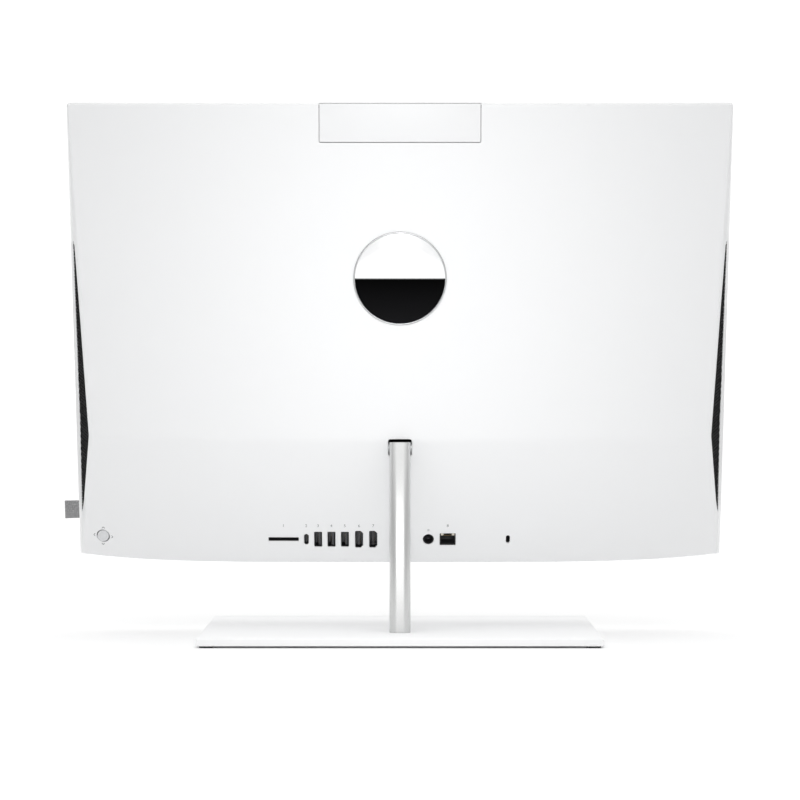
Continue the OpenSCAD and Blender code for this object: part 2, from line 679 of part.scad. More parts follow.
module socket(x, w, h, wall, deep) {
    difference() {
        block(span(x, w), [board_n[1] + touch, face_n(x, h)], span(socket_row, h));
        block(span(x, w - 2 * wall), [face_n(x, h) - deep, 60], span(socket_row, h - 2 * wall));
    }
}

module tongue(x, w, h, deep) {
    block(span(x, w), [face_n(x, h) - deep - 0.5, face_n(x, h) - 1.2], span(socket_row, h));
}

module card_reader() color("#2a2b2e") housing() difference() {
    union() {
        socket(card_x, 24.9, 2.9, 0.4, 12);
        block(span(card_x, 30), [board_n[1] + touch, 29], span(socket_row, 7));
    }
    block(span(card_x, 24.1), [22, 60], span(socket_row, 2.1));
}

module usb_c_socket() color("#b8babd") housing() {
    socket(usb_c_x, 3.5, 9.1, 0.35, 7);
    tongue(usb_c_x, 0.8, 6.6, 7);
}

module usb_a_sockets() color("#b8babd") housing() for (x = usb_a_x) {
    socket(x, 6.2, 13.2, 0.4, 11);
    tongue(x - 1.2, 1.9, 11.2, 11);
}

module video_sockets() color("#b8babd") housing() for (x = video_x) {
    socket(x, 6.3, 14.9, 0.4, 9);
    tongue(x, 1.5, 11.5, 9);
}

module power_inlet() color("#2a2b2e") housing() {
    difference() {
        union() {
            rod(inlet_x, socket_row, [25, face_n(inlet_x, 9)], 4.3);
            block(span(inlet_x, 11), [board_n[1] + touch, 29], span(socket_row, 11));
        }
        rod(inlet_x, socket_row, [24, 60], 3.7);
    }
    rod(inlet_x, socket_row, [23, face_n(inlet_x, 9) - 2], 0.5);
}

module network_socket() color("#2a2b2e") housing() difference() {
    union() {
        block(span(network_x, 12.9), [board_n[1] + touch, face_n(network_x, 10.4)],
            span(socket_row, 10.4));
        block(span(network_x, 15.6), [board_n[1] + touch, 31.5], span(socket_row, 13.4));
    }
    block(span(network_x, 11.7), [22, 60], [socket_row - 4.4, socket_row + 2.6]);
    block(span(network_x, 6), [22, 60], [socket_row - 4.4, socket_row + 4.4]);
}

// A steel plate behind the lock slot, on two legs that stand on the board
module lock_plate() color("#a7a9ac") housing() {
    difference() {
        block(span(lock_x, 22), [28.6, 30.2], span(socket_row, 22));
        block(span(lock_x, 3.3), [20, 40], span(socket_row, 6.9));
    }
    for (x = [lock_x - 11, lock_x + 9.6])
        block([x, x + 1.4], [board_n[1] + touch, 28.8], span(socket_row, 22));
}

module power_light() color("#f2f4f6") housing()
    rod(inlet_x, socket_row + 8.4, [board_n[1] + touch, surface_n(inlet_x, socket_row + 8.4)], 0.9);

module power_button() color("#e6e8ea") housing() {
    block(span(button_x, 12), span(button_n, 5), [0.3, 3.6]);
    block(span(button_x, 15), span(button_n, 6.6), [cover_low + cover_wall + run, 4.6]);
}

module power_switch() color("#2c2d30") housing() difference() {
    block(span(button_x, 20), span(button_n, 9), [cover_low + cover_wall + touch, 8.8]);
    block(span(button_x, 15.6), span(button_n, 7.2), [0, 6]);
}

stand_base();
base_feet();
neck_column();
neck_screws();
hinge_pin();
hinge_washers();
hinge_nut();
hinge_bracket();
bracket_screws();
front_frame();
front_glass();
lcd_panel();
backlight_unit();
main_chassis();
speaker_grille();
grille_fabric();
side_fabric_tag();
rear_cover();
side_vent_right();
side_vent_left();
round_badge();
camera_rear_cap();
camera_housing();
camera_lens();
camera_board();
camera_carriage();
camera_rails();
camera_latch();
joystick_base();
joystick_yoke();
joystick_stem();
joystick_cap();
motherboard();
board_standoffs();
board_screws();
processor();
cold_plate();
heat_pipe();
fin_stack();
fan_housing();
fan_rotor();
memory_modules();
solid_state_drive();
wireless_card();
coin_cell();
hard_drive();
drive_bracket();
speaker_right();
speaker_left();
card_reader();
usb_c_socket();
usb_a_sockets();
video_sockets();
power_inlet();
network_socket();
lock_plate();
power_light();
power_button();
power_switch();
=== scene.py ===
# %% [markdown]
# # A desktop computer in one slab, on a plate and a slim post
# The shapes that carry load were made as exact solids and packed as a frame. This lesson
# dresses that frame: it gives each piece its rounded edges, its small parts and its finish.
# Sizes are in millimetres while a piece is drawn, and become metres when it is put in place.

# %% Load the frame
import math

import bmesh
import bpy
import numpy as np
from mathutils import Matrix, Vector


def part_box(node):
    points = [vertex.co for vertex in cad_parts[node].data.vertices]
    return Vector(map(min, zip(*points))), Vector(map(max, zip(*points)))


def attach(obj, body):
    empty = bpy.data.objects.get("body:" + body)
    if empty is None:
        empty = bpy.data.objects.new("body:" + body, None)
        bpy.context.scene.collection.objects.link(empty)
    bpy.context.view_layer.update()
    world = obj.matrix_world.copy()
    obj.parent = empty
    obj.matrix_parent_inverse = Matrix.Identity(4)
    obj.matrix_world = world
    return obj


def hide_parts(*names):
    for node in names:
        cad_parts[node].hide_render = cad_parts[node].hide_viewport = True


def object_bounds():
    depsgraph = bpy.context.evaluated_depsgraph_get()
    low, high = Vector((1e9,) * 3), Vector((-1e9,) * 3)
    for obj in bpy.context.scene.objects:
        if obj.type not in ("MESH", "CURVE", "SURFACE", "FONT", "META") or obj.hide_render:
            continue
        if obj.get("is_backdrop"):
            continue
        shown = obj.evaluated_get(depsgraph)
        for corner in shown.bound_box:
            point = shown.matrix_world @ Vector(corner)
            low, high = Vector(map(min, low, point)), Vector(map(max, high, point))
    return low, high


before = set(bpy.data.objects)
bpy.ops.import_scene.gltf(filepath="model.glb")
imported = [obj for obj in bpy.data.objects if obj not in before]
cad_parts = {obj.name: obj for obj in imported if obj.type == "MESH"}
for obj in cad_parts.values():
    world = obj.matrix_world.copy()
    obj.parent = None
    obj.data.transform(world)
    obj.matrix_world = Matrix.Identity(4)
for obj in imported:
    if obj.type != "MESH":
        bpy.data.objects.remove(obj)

cad_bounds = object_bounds()

# %% [markdown]
# ## Camera
# The machine is seen square from behind, from far off with a long lens, so that its sides
# stay almost parallel. A long lens could also be faked with a flat projection, but then the
# base plate would lose the depth that it shows. A small shift lowers the view a little.

# %% Camera
FOCAL_MM = 114.3
CAMERA_PLACE = Vector((0.0, 2.09925, 0.2032))
camera_data = bpy.data.cameras.new("studio_camera")
camera_data.lens = FOCAL_MM
camera_data.sensor_width = 36.0
camera_data.shift_y = -0.0125
camera_data.clip_end = 60.0
camera = bpy.data.objects.new("studio_camera", camera_data)
camera.location = CAMERA_PLACE
camera.rotation_euler = (math.radians(90), 0.0, math.radians(180))
bpy.context.scene.collection.objects.link(camera)
bpy.context.scene.camera = camera
print("camera", tuple(round(c, 3) for c in CAMERA_PLACE))

# %% [markdown]
# ## Small tools for nodes
# A material or a geometry tree is a net of nodes. Each node could be made in four or five
# lines, but one helper that makes a node, sets it and wires it keeps the nets readable.


# %% Node tools
def add(tree, kind, inputs=(), settings=()):
    node = tree.nodes.new(kind)
    for key, value in dict(settings).items():
        setattr(node, key, value)
    for key, value in dict(inputs).items():
        socket = node.inputs[key]
        if isinstance(value, bpy.types.NodeSocket):
            tree.links.new(value, socket)
        else:
            socket.default_value = value
    return node


def calc(tree, operation, a, b=0.0, c=0.0):
    settings = {"operation": operation}
    return add(tree, "ShaderNodeMath", {0: a, 1: b, 2: c}, settings).outputs[0]


def blend_colour(tree, amount, a, b, mode="MIX"):
    settings = {"data_type": "RGBA", "blend_type": mode}
    return add(tree, "ShaderNodeMix", {0: amount, 6: a, 7: b}, settings).outputs[2]


def rescale(tree, value, from_low, from_high, to_low, to_high):
    inputs = {0: value, 1: from_low, 2: from_high, 3: to_low, 4: to_high}
    return add(tree, "ShaderNodeMapRange", inputs).outputs[0]


def new_group(name, kind, inputs, outputs):
    tree = bpy.data.node_groups.new(name, kind)
    for label, sort, value in inputs:
        socket = tree.interface.new_socket(label, in_out="INPUT", socket_type="NodeSocket" + sort)
        if value is not None:
            socket.default_value = value
    for label, sort in outputs:
        tree.interface.new_socket(label, in_out="OUTPUT", socket_type="NodeSocket" + sort)
    return tree, tree.nodes.new("NodeGroupInput").outputs, tree.nodes.new("NodeGroupOutput")


def rgba(colour):
    return (*colour, 1.0)


def grey(tree, level):
    """A colour with the same level in all three channels."""
    return add(tree, "ShaderNodeCombineColor", {0: level, 1: level, 2: level}).outputs[0]


def bare_material(name):
    material = bpy.data.materials.new(name)
    material.use_nodes = True
    tree = material.node_tree
    return material, tree, tree.nodes["Principled BSDF"]


print("node tools ready")

# %% [markdown]
# ## Floor and studio light
# The machine stands on a white table in a white room. The table could fade into a curved
# backdrop, but a bright room behind a wide floor gives the same plain white with less to build.
# The room is brightest overhead and dim at eye level, so that round metal shows dark edges and
# the desk is whiter than the machine. Three soft pools of light, one above the other, make the
# middle of the back brighter than its sides.

# %% Floor
scene = bpy.context.scene
scene.view_settings.view_transform = "Standard"
floor_mesh = bpy.data.meshes.new("studio_floor")
FLOOR_REACH = 25.0
floor_bm = bmesh.new()
bmesh.ops.create_grid(floor_bm, x_segments=4, y_segments=4, size=FLOOR_REACH)
floor_bm.to_mesh(floor_mesh)
floor_bm.free()
floor = bpy.data.objects.new("studio_floor", floor_mesh)
scene.collection.objects.link(floor)
floor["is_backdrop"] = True
floor_paint, net, floor_shader = bare_material("floor_paper")
floor_shader.inputs["Roughness"].default_value = 0.9
floor_shader.inputs["Specular IOR Level"].default_value = 0.0
floor_tone = add(net, "ShaderNodeTexNoise", {"Scale": 40.0, "Detail": 4.0}).outputs[0]
floor_colour = blend_colour(net, floor_tone, rgba((0.955, 0.955, 0.955)), rgba((0.965, 0.965, 0.965)))
net.links.new(floor_colour, floor_shader.inputs["Base Color"])
floor_mesh.materials.append(floor_paint)
print("floor laid")

# %% Room and lamps
ROOM_MIDDLE, ROOM_TURN, ROOM_LEAST, ROOM_ZENITH = 0.37, 0.06, 0.3, 1.54
ROOM_CURVE, ROOM_SEEN = 2.0, 1.2
LAMP_PLACE, LAMP_CONE, LAMP_SOFTNESS = (0.0, 2.3, 0.62), 14.5, 0.2
LAMP_LEVELS = ((0.03, 21.0), (0.20, 40.0), (0.37, 40.0))
world = bpy.data.worlds.new("white_room")
world.use_nodes = True
scene.world = world
room = world.node_tree
room_glow = room.nodes["Background"]
room_glow.inputs["Color"].default_value = rgba((1.0, 1.0, 1.0))
direction = add(room, "ShaderNodeTexCoord").outputs["Generated"]
facing = add(room, "ShaderNodeSeparateXYZ", {0: direction})
from_back = calc(room, "MULTIPLY_ADD", facing.outputs["Y"], ROOM_TURN, ROOM_MIDDLE)
walls = calc(room, "MAXIMUM", from_back, ROOM_LEAST)
height = calc(room, "POWER", calc(room, "MAXIMUM", facing.outputs["Z"], 0.0), ROOM_CURVE)
room_level = calc(room, "MULTIPLY_ADD", height, ROOM_ZENITH, walls)
seen = add(room, "ShaderNodeLightPath").outputs["Is Camera Ray"]
seen_level = add(room, "ShaderNodeMix", {0: seen, 2: room_level, 3: ROOM_SEEN}).outputs[0]
room.links.new(seen_level, room_glow.inputs["Strength"])


def pool_lamp(name, level, power, glossy):
    """A soft spot lamp behind the machine, aimed at its middle at the given height."""
    data = bpy.data.lights.new(name, "SPOT")
    data.energy, data.spot_size = power, math.radians(LAMP_CONE)
    data.spot_blend, data.shadow_soft_size = 1.0, LAMP_SOFTNESS
    holder = bpy.data.objects.new(name, data)
    holder.location = LAMP_PLACE
    holder.visible_glossy = glossy
    way = Vector((0.0, 0.0, level)) - Vector(LAMP_PLACE)
    holder.rotation_euler = way.to_track_quat("-Z", "Y").to_euler()
    scene.collection.objects.link(holder)


for k, (level, power) in enumerate(LAMP_LEVELS):
    pool_lamp(f"back_lamp_{k + 1}", level, power, glossy=k > 0)
print("room and lamps ready")

# %% [markdown]
# ## The housing's own axes
# The slab leans back, so its pieces are drawn in its own axes: x across, n from the glass
# towards the back, v up along the screen. One matrix turns them, shrinks them to metres and
# puts them in place. Turning the finished objects would also work, but then a grain that is
# tied to the object would turn with them.

# %% Housing axes
MM = Matrix.Scale(0.001, 4)
TILT = math.radians(14)
HINGE_N, HINGE_V = 36.0, 101.0
HOUSING = (
    MM
    @ Matrix.Translation((0, 0.9, 155.6))
    @ Matrix.Rotation(-TILT, 4, "X")
    @ Matrix.Translation((0, -HINGE_N, -HINGE_V))
)
HALF_W, TOP_V = 270.45, 382.3
DRAWN = Matrix.Identity(4)
FRAME_DEPTH = 6.8
RIDGE_V = 111.0
SOCKET_V = 21.9
frame_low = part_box("front_frame")[0]
corner = HOUSING @ Vector((HALF_W, 0, 0))
print("frame corner", [round(c, 4) for c in corner], "box", [round(c, 4) for c in frame_low])

# %% [markdown]
# ## Curves of the back
# The back is two slopes that meet in a crease. Each slope bulges in the middle and thins out
# to the sides. The same small formulas give the depth anywhere, so every opening, mark and
# badge can ask them where the surface is. The crease is eased over a few millimetres.

# %% Curves of the back
CREASE_EASE = 3.0


def eased(v, ridge, top, bottom):
    low = (ridge - bottom) / RIDGE_V
    high = (top - ridge) / (TOP_V - RIDGE_V)
    t = np.asarray(v, float) - RIDGE_V
    turn = np.where(
        t > CREASE_EASE, t, np.where(t < -CREASE_EASE, 0.0, (t + CREASE_EASE) ** 2 / (4 * CREASE_EASE))
    )
    return ridge + low * t + (high - low) * turn


def edge_x(v):
    return HALF_W + eased(v, -14.85, -1.25, -2.05)


def foot_x(v):
    return HALF_W + eased(v, -2.65, -0.55, -1.55)


def edge_n(v):
    return eased(v, 38.0, 8.6, 8.9)


def surface_n(x, v):
    share = np.minimum(1.0, np.abs(x) / edge_x(v))
    return edge_n(v) + eased(v, 14.0, 0.0, 24.0) * (1 - share ** eased(v, 2.0, 2.0, 4.5))


print("depth at crease", round(float(surface_n(0, RIDGE_V)), 2), "mm")

# %% [markdown]
# ## Small tools for shapes
# Most pieces are lofts: a row of closed outlines, skinned from one to the next and capped.
# Openings are cut from them with a Boolean, which keeps their rims crisp. The tools end by
# merging doubles and pointing every face outwards, which a lathe or a mirror can spoil.


# %% Shape tools
def build_mesh(name, points, faces, place=HOUSING):
    mesh = bpy.data.meshes.new(name)
    mesh.from_pydata([tuple(map(float, p)) for p in points], [], [tuple(f) for f in faces])
    mesh.transform(place)
    bm = bmesh.new()
    bm.from_mesh(mesh)
    bmesh.ops.remove_doubles(bm, verts=bm.verts, dist=1e-4 if place == DRAWN else 1e-7)
    bmesh.ops.recalc_face_normals(bm, faces=bm.faces)
    bm.to_mesh(mesh)
    bm.free()
    return mesh


def loft(rings, closed=False):
    """Points and faces of a solid skinned over equal rings, with flat caps unless it is a loop."""
    count, width = len(rings), len(rings[0])
    points = [p for ring in rings for p in ring]
    faces = []
    for j in range(count if closed else count - 1):
        a, b = j * width, (j + 1) % count * width
        faces += [(a + i, a + (i + 1) % width, b + (i + 1) % width, b + i) for i in range(width)]
    if not closed:
        faces += [tuple(range(width)), tuple(range((count - 1) * width, count * width))]
    return points, faces


def join_parts(*parts):
    points, faces = [], []
    for part_points, part_faces in parts:
        start = len(points)
        points += list(part_points)
        faces += [tuple(start + i for i in f) for f in part_faces]
    return points, faces


def rounded_outline(width, height, radius, steps=6):
    """Corners of a rectangle with round corners, about the origin."""
    out = []
    for k, (sx, sy) in enumerate(((1, 1), (-1, 1), (-1, -1), (1, -1))):
        for i in range(steps + 1):
            a = math.radians(90 * (k + i / steps))
            out.append(
                (
                    sx * (width / 2 - radius) + radius * math.cos(a),
                    sy * (height / 2 - radius) + radius * math.sin(a),
                )
            )
    return out


def grown(outline, by):
    """A convex outline moved outwards by the same distance all round."""
    out, count = [], len(outline)
    for i in range(count):
        before, here, after = outline[i - 1], outline[i], outline[(i + 1) % count]
        one = Vector((here[1] - before[1], before[0] - here[0])).normalized()
        two = Vector((after[1] - here[1], here[0] - after[0])).normalized()
        way = (one + two).normalized()
        reach = by / max(0.35, way.dot(one))
        out.append((here[0] + way.x * reach, here[1] + way.y * reach))
    return out


def lathe(profile, steps=64, centre=(0, 0)):
    """A profile of radius and depth, turned about the n axis through centre."""
    rings = []
    for k in range(steps):
        a = 2 * math.pi * k / steps
        rings.append(
            [(centre[0] + r * math.cos(a), n, centre[1] + r * math.sin(a)) for r, n in profile]
        )
    return loft(rings, closed=True)


print("shape tools ready")


# %% Piece tools
pieces_made = {}


def put(name, mesh, body, material, nodes=(), smooth=30.0):
    """Makes the finished object, lets it ride on its body and hides the imported parts that it replaces."""
    obj = bpy.data.objects.new(name, mesh)
    scene.collection.objects.link(obj)
    mesh.materials.clear()
    mesh.materials.append(material)
    mesh.shade_smooth()
    mesh.set_sharp_from_angle(angle=math.radians(smooth))
    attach(obj, body)
    if nodes:
        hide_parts(*nodes)
    pieces_made[name] = len(mesh.polygons)
    return obj


def with_modifiers(mesh, build):
    """Runs modifiers on a mesh and hands back the plain result."""
    holder = bpy.data.objects.new("workbench", mesh)
    scene.collection.objects.link(holder)
    build(holder)
    bpy.context.view_layer.update()
    ready = holder.evaluated_get(bpy.context.evaluated_depsgraph_get())
    result = bpy.data.meshes.new_from_object(ready)
    bpy.data.objects.remove(holder)
    return result


def cut(mesh, tools):
    """Cuts all the tool solids, which stay clear of each other, out of a mesh still in mm."""
    tool = bpy.data.objects.new("cutter", build_mesh("cutter", *join_parts(*tools), place=DRAWN))
    scene.collection.objects.link(tool)

    def build(holder):
        step = holder.modifiers.new("cut", "BOOLEAN")
        step.operation, step.object, step.solver = "DIFFERENCE", tool, "EXACT"

    result = with_modifiers(mesh, build)
    bpy.data.objects.remove(tool)
    return result


def eased_copy(node, width, steps=2, angle=30.0):
    """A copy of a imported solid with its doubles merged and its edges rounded."""
    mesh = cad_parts[node].data.copy()
    bm = bmesh.new()
    bm.from_mesh(mesh)
    bmesh.ops.remove_doubles(bm, verts=bm.verts, dist=2e-6)
    bmesh.ops.dissolve_limit(bm, angle_limit=math.radians(0.6), verts=bm.verts, edges=bm.edges)
    bm.to_mesh(mesh)
    bm.free()

    def build(holder):
        step = holder.modifiers.new("round", "BEVEL")
        step.limit_method, step.angle_limit = "ANGLE", math.radians(angle)
        step.width, step.segments = width / 1000, steps
        step.harden_normals = False

    return with_modifiers(mesh, build)


print("piece tools ready")

# %% [markdown]
# ## Effects that many finishes share
# Moulded plastic, powder coat and rolled metal are never one flat colour: they have a fine
# grain, faint clouds from handling, and edges of another tone: wear on most parts, a painted
# highlight on the white parts and painted shade on the sides of the post. Each effect is a node
# group, built once and placed in every material with its own sizes. They read the object's
# own coordinates, so the pattern stays put when a piece moves.

# %% Grain group
grain_group, g_in, g_out = new_group(
    "fine_grain",
    "ShaderNodeTree",
    [("Place", "Vector", None), ("Size mm", "Float", 0.6), ("Contrast", "Float", 1.0)],
    [("Height", "Float"), ("Shade", "Float")],
)
grain_scale = calc(grain_group, "DIVIDE", 1000.0, g_in["Size mm"])
grain_noise = add(
    grain_group,
    "ShaderNodeTexNoise",
    {"Vector": g_in["Place"], "Scale": grain_scale, "Detail": 3.0, "Roughness": 0.55},
).outputs[0]
grain_pits = add(
    grain_group,
    "ShaderNodeTexVoronoi",
    {"Vector": g_in["Place"], "Scale": calc(grain_group, "MULTIPLY", grain_scale, 1.7)},
    {"feature": "SMOOTH_F1"},
).outputs["Distance"]
grain_sum = calc(grain_group, "MULTIPLY_ADD", grain_pits, 0.45, grain_noise)
grain_even = calc(grain_group, "SUBTRACT", grain_sum, 0.72)
grain_swing = calc(grain_group, "MULTIPLY", grain_even, g_in["Contrast"])
grain_group.links.new(grain_swing, g_out.inputs["Height"])
grain_group.links.new(calc(grain_group, "ADD", grain_swing, 1.0), g_out.inputs["Shade"])
print("group", grain_group.name)

# %% Handling group
handling_group, g_in, g_out = new_group(
    "handling_clouds",
    "ShaderNodeTree",
    [("Place", "Vector", None), ("Size mm", "Float", 60.0), ("Amount", "Float", 0.05)],
    [("Shade", "Float"), ("Rougher", "Float")],
)
cloud_scale = calc(handling_group, "DIVIDE", 1000.0, g_in["Size mm"])
cloud = add(
    handling_group,
    "ShaderNodeTexNoise",
    {"Vector": g_in["Place"], "Scale": cloud_scale, "Detail": 6.0, "Roughness": 0.6, "Distortion": 0.4},
).outputs[0]
cloud_even = calc(handling_group, "SUBTRACT", cloud, 0.5)
cloud_swing = calc(handling_group, "MULTIPLY", cloud_even, g_in["Amount"])
handling_group.links.new(calc(handling_group, "ADD", cloud_swing, 1.0), g_out.inputs["Shade"])
handling_group.links.new(cloud_swing, g_out.inputs["Rougher"])
print("group", handling_group.name)

# %% Edge wear and painted light group
wear_and_light_group, g_in, g_out = new_group(
    "edge_wear_and_painted_light",
    "ShaderNodeTree",
    [("Place", "Vector", None), ("Width mm", "Float", 0.4), ("Amount", "Float", 0.5)],
    [("Mask", "Float")],
)
soft_normal = add(
    wear_and_light_group,
    "ShaderNodeBevel",
    {"Radius": calc(wear_and_light_group, "MULTIPLY", g_in["Width mm"], 0.001)},
    {"samples": 4},
).outputs[0]
true_normal = add(wear_and_light_group, "ShaderNodeNewGeometry").outputs["Normal"]
agree = add(
    wear_and_light_group, "ShaderNodeVectorMath", {0: soft_normal, 1: true_normal}, {"operation": "DOT_PRODUCT"}
).outputs["Value"]
bend = calc(wear_and_light_group, "SUBTRACT", 1.0, agree)
patchy = add(
    wear_and_light_group, "ShaderNodeTexNoise", {"Vector": g_in["Place"], "Scale": 180.0, "Detail": 5.0}
).outputs[0]
# This edge mask serves as wear on most finishes, and as painted highlight and painted shade on others.
wear_and_light_edge = calc(wear_and_light_group, "MULTIPLY", rescale(wear_and_light_group, bend, 0.02, 0.3, 0.0, 1.0), patchy)
wear_and_light_mask = calc(wear_and_light_group, "MULTIPLY", wear_and_light_edge, g_in["Amount"])
wear_and_light_group.links.new(wear_and_light_mask, g_out.inputs["Mask"])
print("group", wear_and_light_group.name)

# %% Brushing group
brushed_group, g_in, g_out = new_group(
    "brushed_lines",
    "ShaderNodeTree",
    [("Place", "Vector", None), ("Along", "Vector", (1.0, 1.0, 0.02)), ("Size mm", "Float", 0.25)],
    [("Height", "Float"), ("Shade", "Float")],
)
stretched = add(
    brushed_group, "ShaderNodeVectorMath", {0: g_in["Place"], 1: g_in["Along"]}, {"operation": "MULTIPLY"}
).outputs[0]
lines = add(
    brushed_group,
    "ShaderNodeTexNoise",
    {
        "Vector": stretched,
        "Scale": calc(brushed_group, "DIVIDE", 1000.0, g_in["Size mm"]),
        "Detail": 4.0,
        "Roughness": 0.65,
    },
).outputs[0]
lines_even = calc(brushed_group, "SUBTRACT", lines, 0.5)
brushed_group.links.new(lines_even, g_out.inputs["Height"])
brushed_group.links.new(
    calc(brushed_group, "MULTIPLY_ADD", lines_even, 0.22, 1.0), g_out.inputs["Shade"]
)
print("group", brushed_group.name)

# %% [markdown]
# ## A finish from its facts
# One function turns the facts of a finish into a material: its colour and gloss, the size of
# its grain, how cloudy it is, and the colour of its edges, which is wear on most finishes and
# painted light on the white parts and the post. Writing each material by hand would allow more
# freedom, but they would soon drift apart. Numbers that are the same all over the surface are set on the
# shader itself.


# %% Finish maker
def place_group(tree, group, **values):
    node = add(tree, "ShaderNodeGroup", (), {"node_tree": group})
    for label, value in values.items():
        socket = node.inputs[label.replace("_", " ")]
        if isinstance(value, bpy.types.NodeSocket):
            tree.links.new(value, socket)
        else:
            socket.default_value = value
    return node.outputs


def finish(
    name,
    colour,
    gloss_loss,
    metal=0.0,
    grain=0.6,
    depth=0.02,
    clouds=0.04,
    cloud_size=60.0,
    wear_and_light_edge=None,
    wear_and_light_amount=0.4,
    wear_and_light_width=0.4,
    brush=None,
    fixed=(),
):
    material, tree, shader = bare_material(name)
    place = add(tree, "ShaderNodeTexCoord").outputs["Object"]
    fine = place_group(tree, grain_group, Place=place, Size_mm=grain, Contrast=1.0)
    cloudy = place_group(tree, handling_group, Place=place, Size_mm=cloud_size, Amount=clouds)
    height = fine["Height"]
    tint = calc(tree, "MULTIPLY_ADD", fine["Height"], clouds, cloudy["Shade"])
    if brush:
        lined = place_group(tree, brushed_group, Place=place, Along=brush, Size_mm=grain)
        height = lined["Height"]
        tint = calc(tree, "MULTIPLY", tint, lined["Shade"])
    paint = blend_colour(tree, 1.0, rgba(colour), grey(tree, tint), "MULTIPLY")
    # Edge colour through the mask: wear on most finishes, a painted highlight on the white parts, painted
    # shade on the post.
    if wear_and_light_edge:
        edges = place_group(tree, wear_and_light_group, Place=place, Width_mm=wear_and_light_width, Amount=wear_and_light_amount)
        paint = blend_colour(tree, edges["Mask"], paint, rgba(wear_and_light_edge))
    tree.links.new(paint, shader.inputs["Base Color"])
    rougher = calc(tree, "MULTIPLY_ADD", fine["Height"], 0.12, gloss_loss)
    rougher = calc(tree, "MULTIPLY_ADD", cloudy["Rougher"], 1.5, rougher)
    tree.links.new(rougher, shader.inputs["Roughness"])
    shader.inputs["Metallic"].default_value = metal
    bump = add(tree, "ShaderNodeBump", {"Strength": 0.6, "Distance": depth / 1000, "Height": height})
    tree.links.new(bump.outputs["Normal"], shader.inputs["Normal"])
    for label, value in dict(fixed).items():
        shader.inputs[label].default_value = value
    return material


print("finish maker ready")

# %% [markdown]
# ## Plastics, paints and metals
# The slab is a cool white plastic with a fine spark-eroded texture, the base plate is steel
# under a satin powder coat, and the post is drawn aluminium. Dark parts behind the openings
# are nearly black. The metals get their lines from the brushing group, stretched along the
# way they were rolled or drawn.

# %% Finishes
SHELL_WHITE = (0.795, 0.80, 0.806)
# Painted highlight: the lighter edge colour brightens the shell's rims and the lips of its openings as if
# they caught the light.
white_shell = finish(
    "white_shell", SHELL_WHITE, 0.42, grain=0.45, depth=0.012, clouds=0.018, cloud_size=120.0,
    wear_and_light_edge=(0.97, 0.97, 0.965), wear_and_light_amount=0.85, wear_and_light_width=0.6,
)
# Painted highlight: the lighter edge colour brightens the frame's edges into a bright strip.
frame_white = finish(
    "frame_white", (0.88, 0.885, 0.885), 0.4, grain=0.45, depth=0.01, clouds=0.015, cloud_size=120.0,
    wear_and_light_edge=(0.95, 0.95, 0.945), wear_and_light_amount=0.6, wear_and_light_width=0.5,
)
# Painted highlight: the lighter edge colour brightens the plate's edges and bevels.
base_paint = finish(
    "base_powder_coat", (0.905, 0.907, 0.91), 0.5, grain=0.7, depth=0.03, clouds=0.02,
    wear_and_light_edge=(0.97, 0.97, 0.97), wear_and_light_amount=0.8, wear_and_light_width=0.9, fixed={"Specular IOR Level": 0.0},
)
# Painted shade: the dark edge colour darkens the rounded sides of the post, so its middle reads lit and its
# sides shaded.
neck_metal = finish(
    "drawn_aluminium", (0.70, 0.705, 0.70), 0.36, metal=1.0, grain=0.3, depth=0.006,
    clouds=0.05, brush=(1.0, 1.0, 0.03), wear_and_light_edge=(0.34, 0.34, 0.34), wear_and_light_amount=1.0, wear_and_light_width=3.0,
)
foot_rubber = finish(
    "foot_rubber", (0.028, 0.028, 0.03), 0.78, grain=0.5, depth=0.08, clouds=0.25,
    cloud_size=8.0, wear_and_light_edge=(0.09, 0.09, 0.09), wear_and_light_amount=0.5,
)
hinge_steel = finish(
    "turned_steel", (0.44, 0.445, 0.45), 0.32, metal=1.0, grain=0.2, depth=0.008, clouds=0.1,
    cloud_size=12.0, brush=(0.05, 1.0, 1.0), wear_and_light_edge=(0.62, 0.62, 0.62),
)
stamped_steel = finish(
    "zinc_coated_sheet", (0.52, 0.53, 0.54), 0.4, metal=1.0, grain=3.0, depth=0.01, clouds=0.16,
    cloud_size=18.0, wear_and_light_edge=(0.72, 0.73, 0.74), wear_and_light_amount=0.8, wear_and_light_width=0.5,
)
zinc_screws = finish(
    "zinc_plating", (0.46, 0.47, 0.49), 0.36, metal=1.0, grain=0.3, depth=0.01, clouds=0.12,
    cloud_size=5.0, wear_and_light_edge=(0.7, 0.7, 0.7), wear_and_light_amount=0.7, wear_and_light_width=0.2,
)
dark_plastic = finish(
    "black_moulding", (0.022, 0.022, 0.024), 0.5, grain=0.5, depth=0.03, clouds=0.2,
    cloud_size=14.0, wear_and_light_edge=(0.075, 0.075, 0.08), wear_and_light_amount=0.6, wear_and_light_width=0.3,
)
rail_plastic = finish(
    "pale_moulding", (0.66, 0.67, 0.68), 0.4, grain=0.5, depth=0.015, clouds=0.05,
    cloud_size=10.0, wear_and_light_edge=(0.8, 0.8, 0.8), wear_and_light_amount=0.5, wear_and_light_width=0.3,
)
socket_steel = finish(
    "black_nickel", (0.075, 0.076, 0.08), 0.3, metal=1.0, grain=0.4, depth=0.006, clouds=0.12,
    cloud_size=6.0, wear_and_light_edge=(0.3, 0.3, 0.31), wear_and_light_amount=0.6, wear_and_light_width=0.2,
)
carriage_metal = finish(
    "satin_aluminium", (0.56, 0.565, 0.57), 0.38, metal=1.0, grain=0.35, depth=0.008,
    clouds=0.08, cloud_size=20.0, brush=(0.04, 1.0, 1.0), wear_and_light_edge=(0.75, 0.75, 0.75),
)
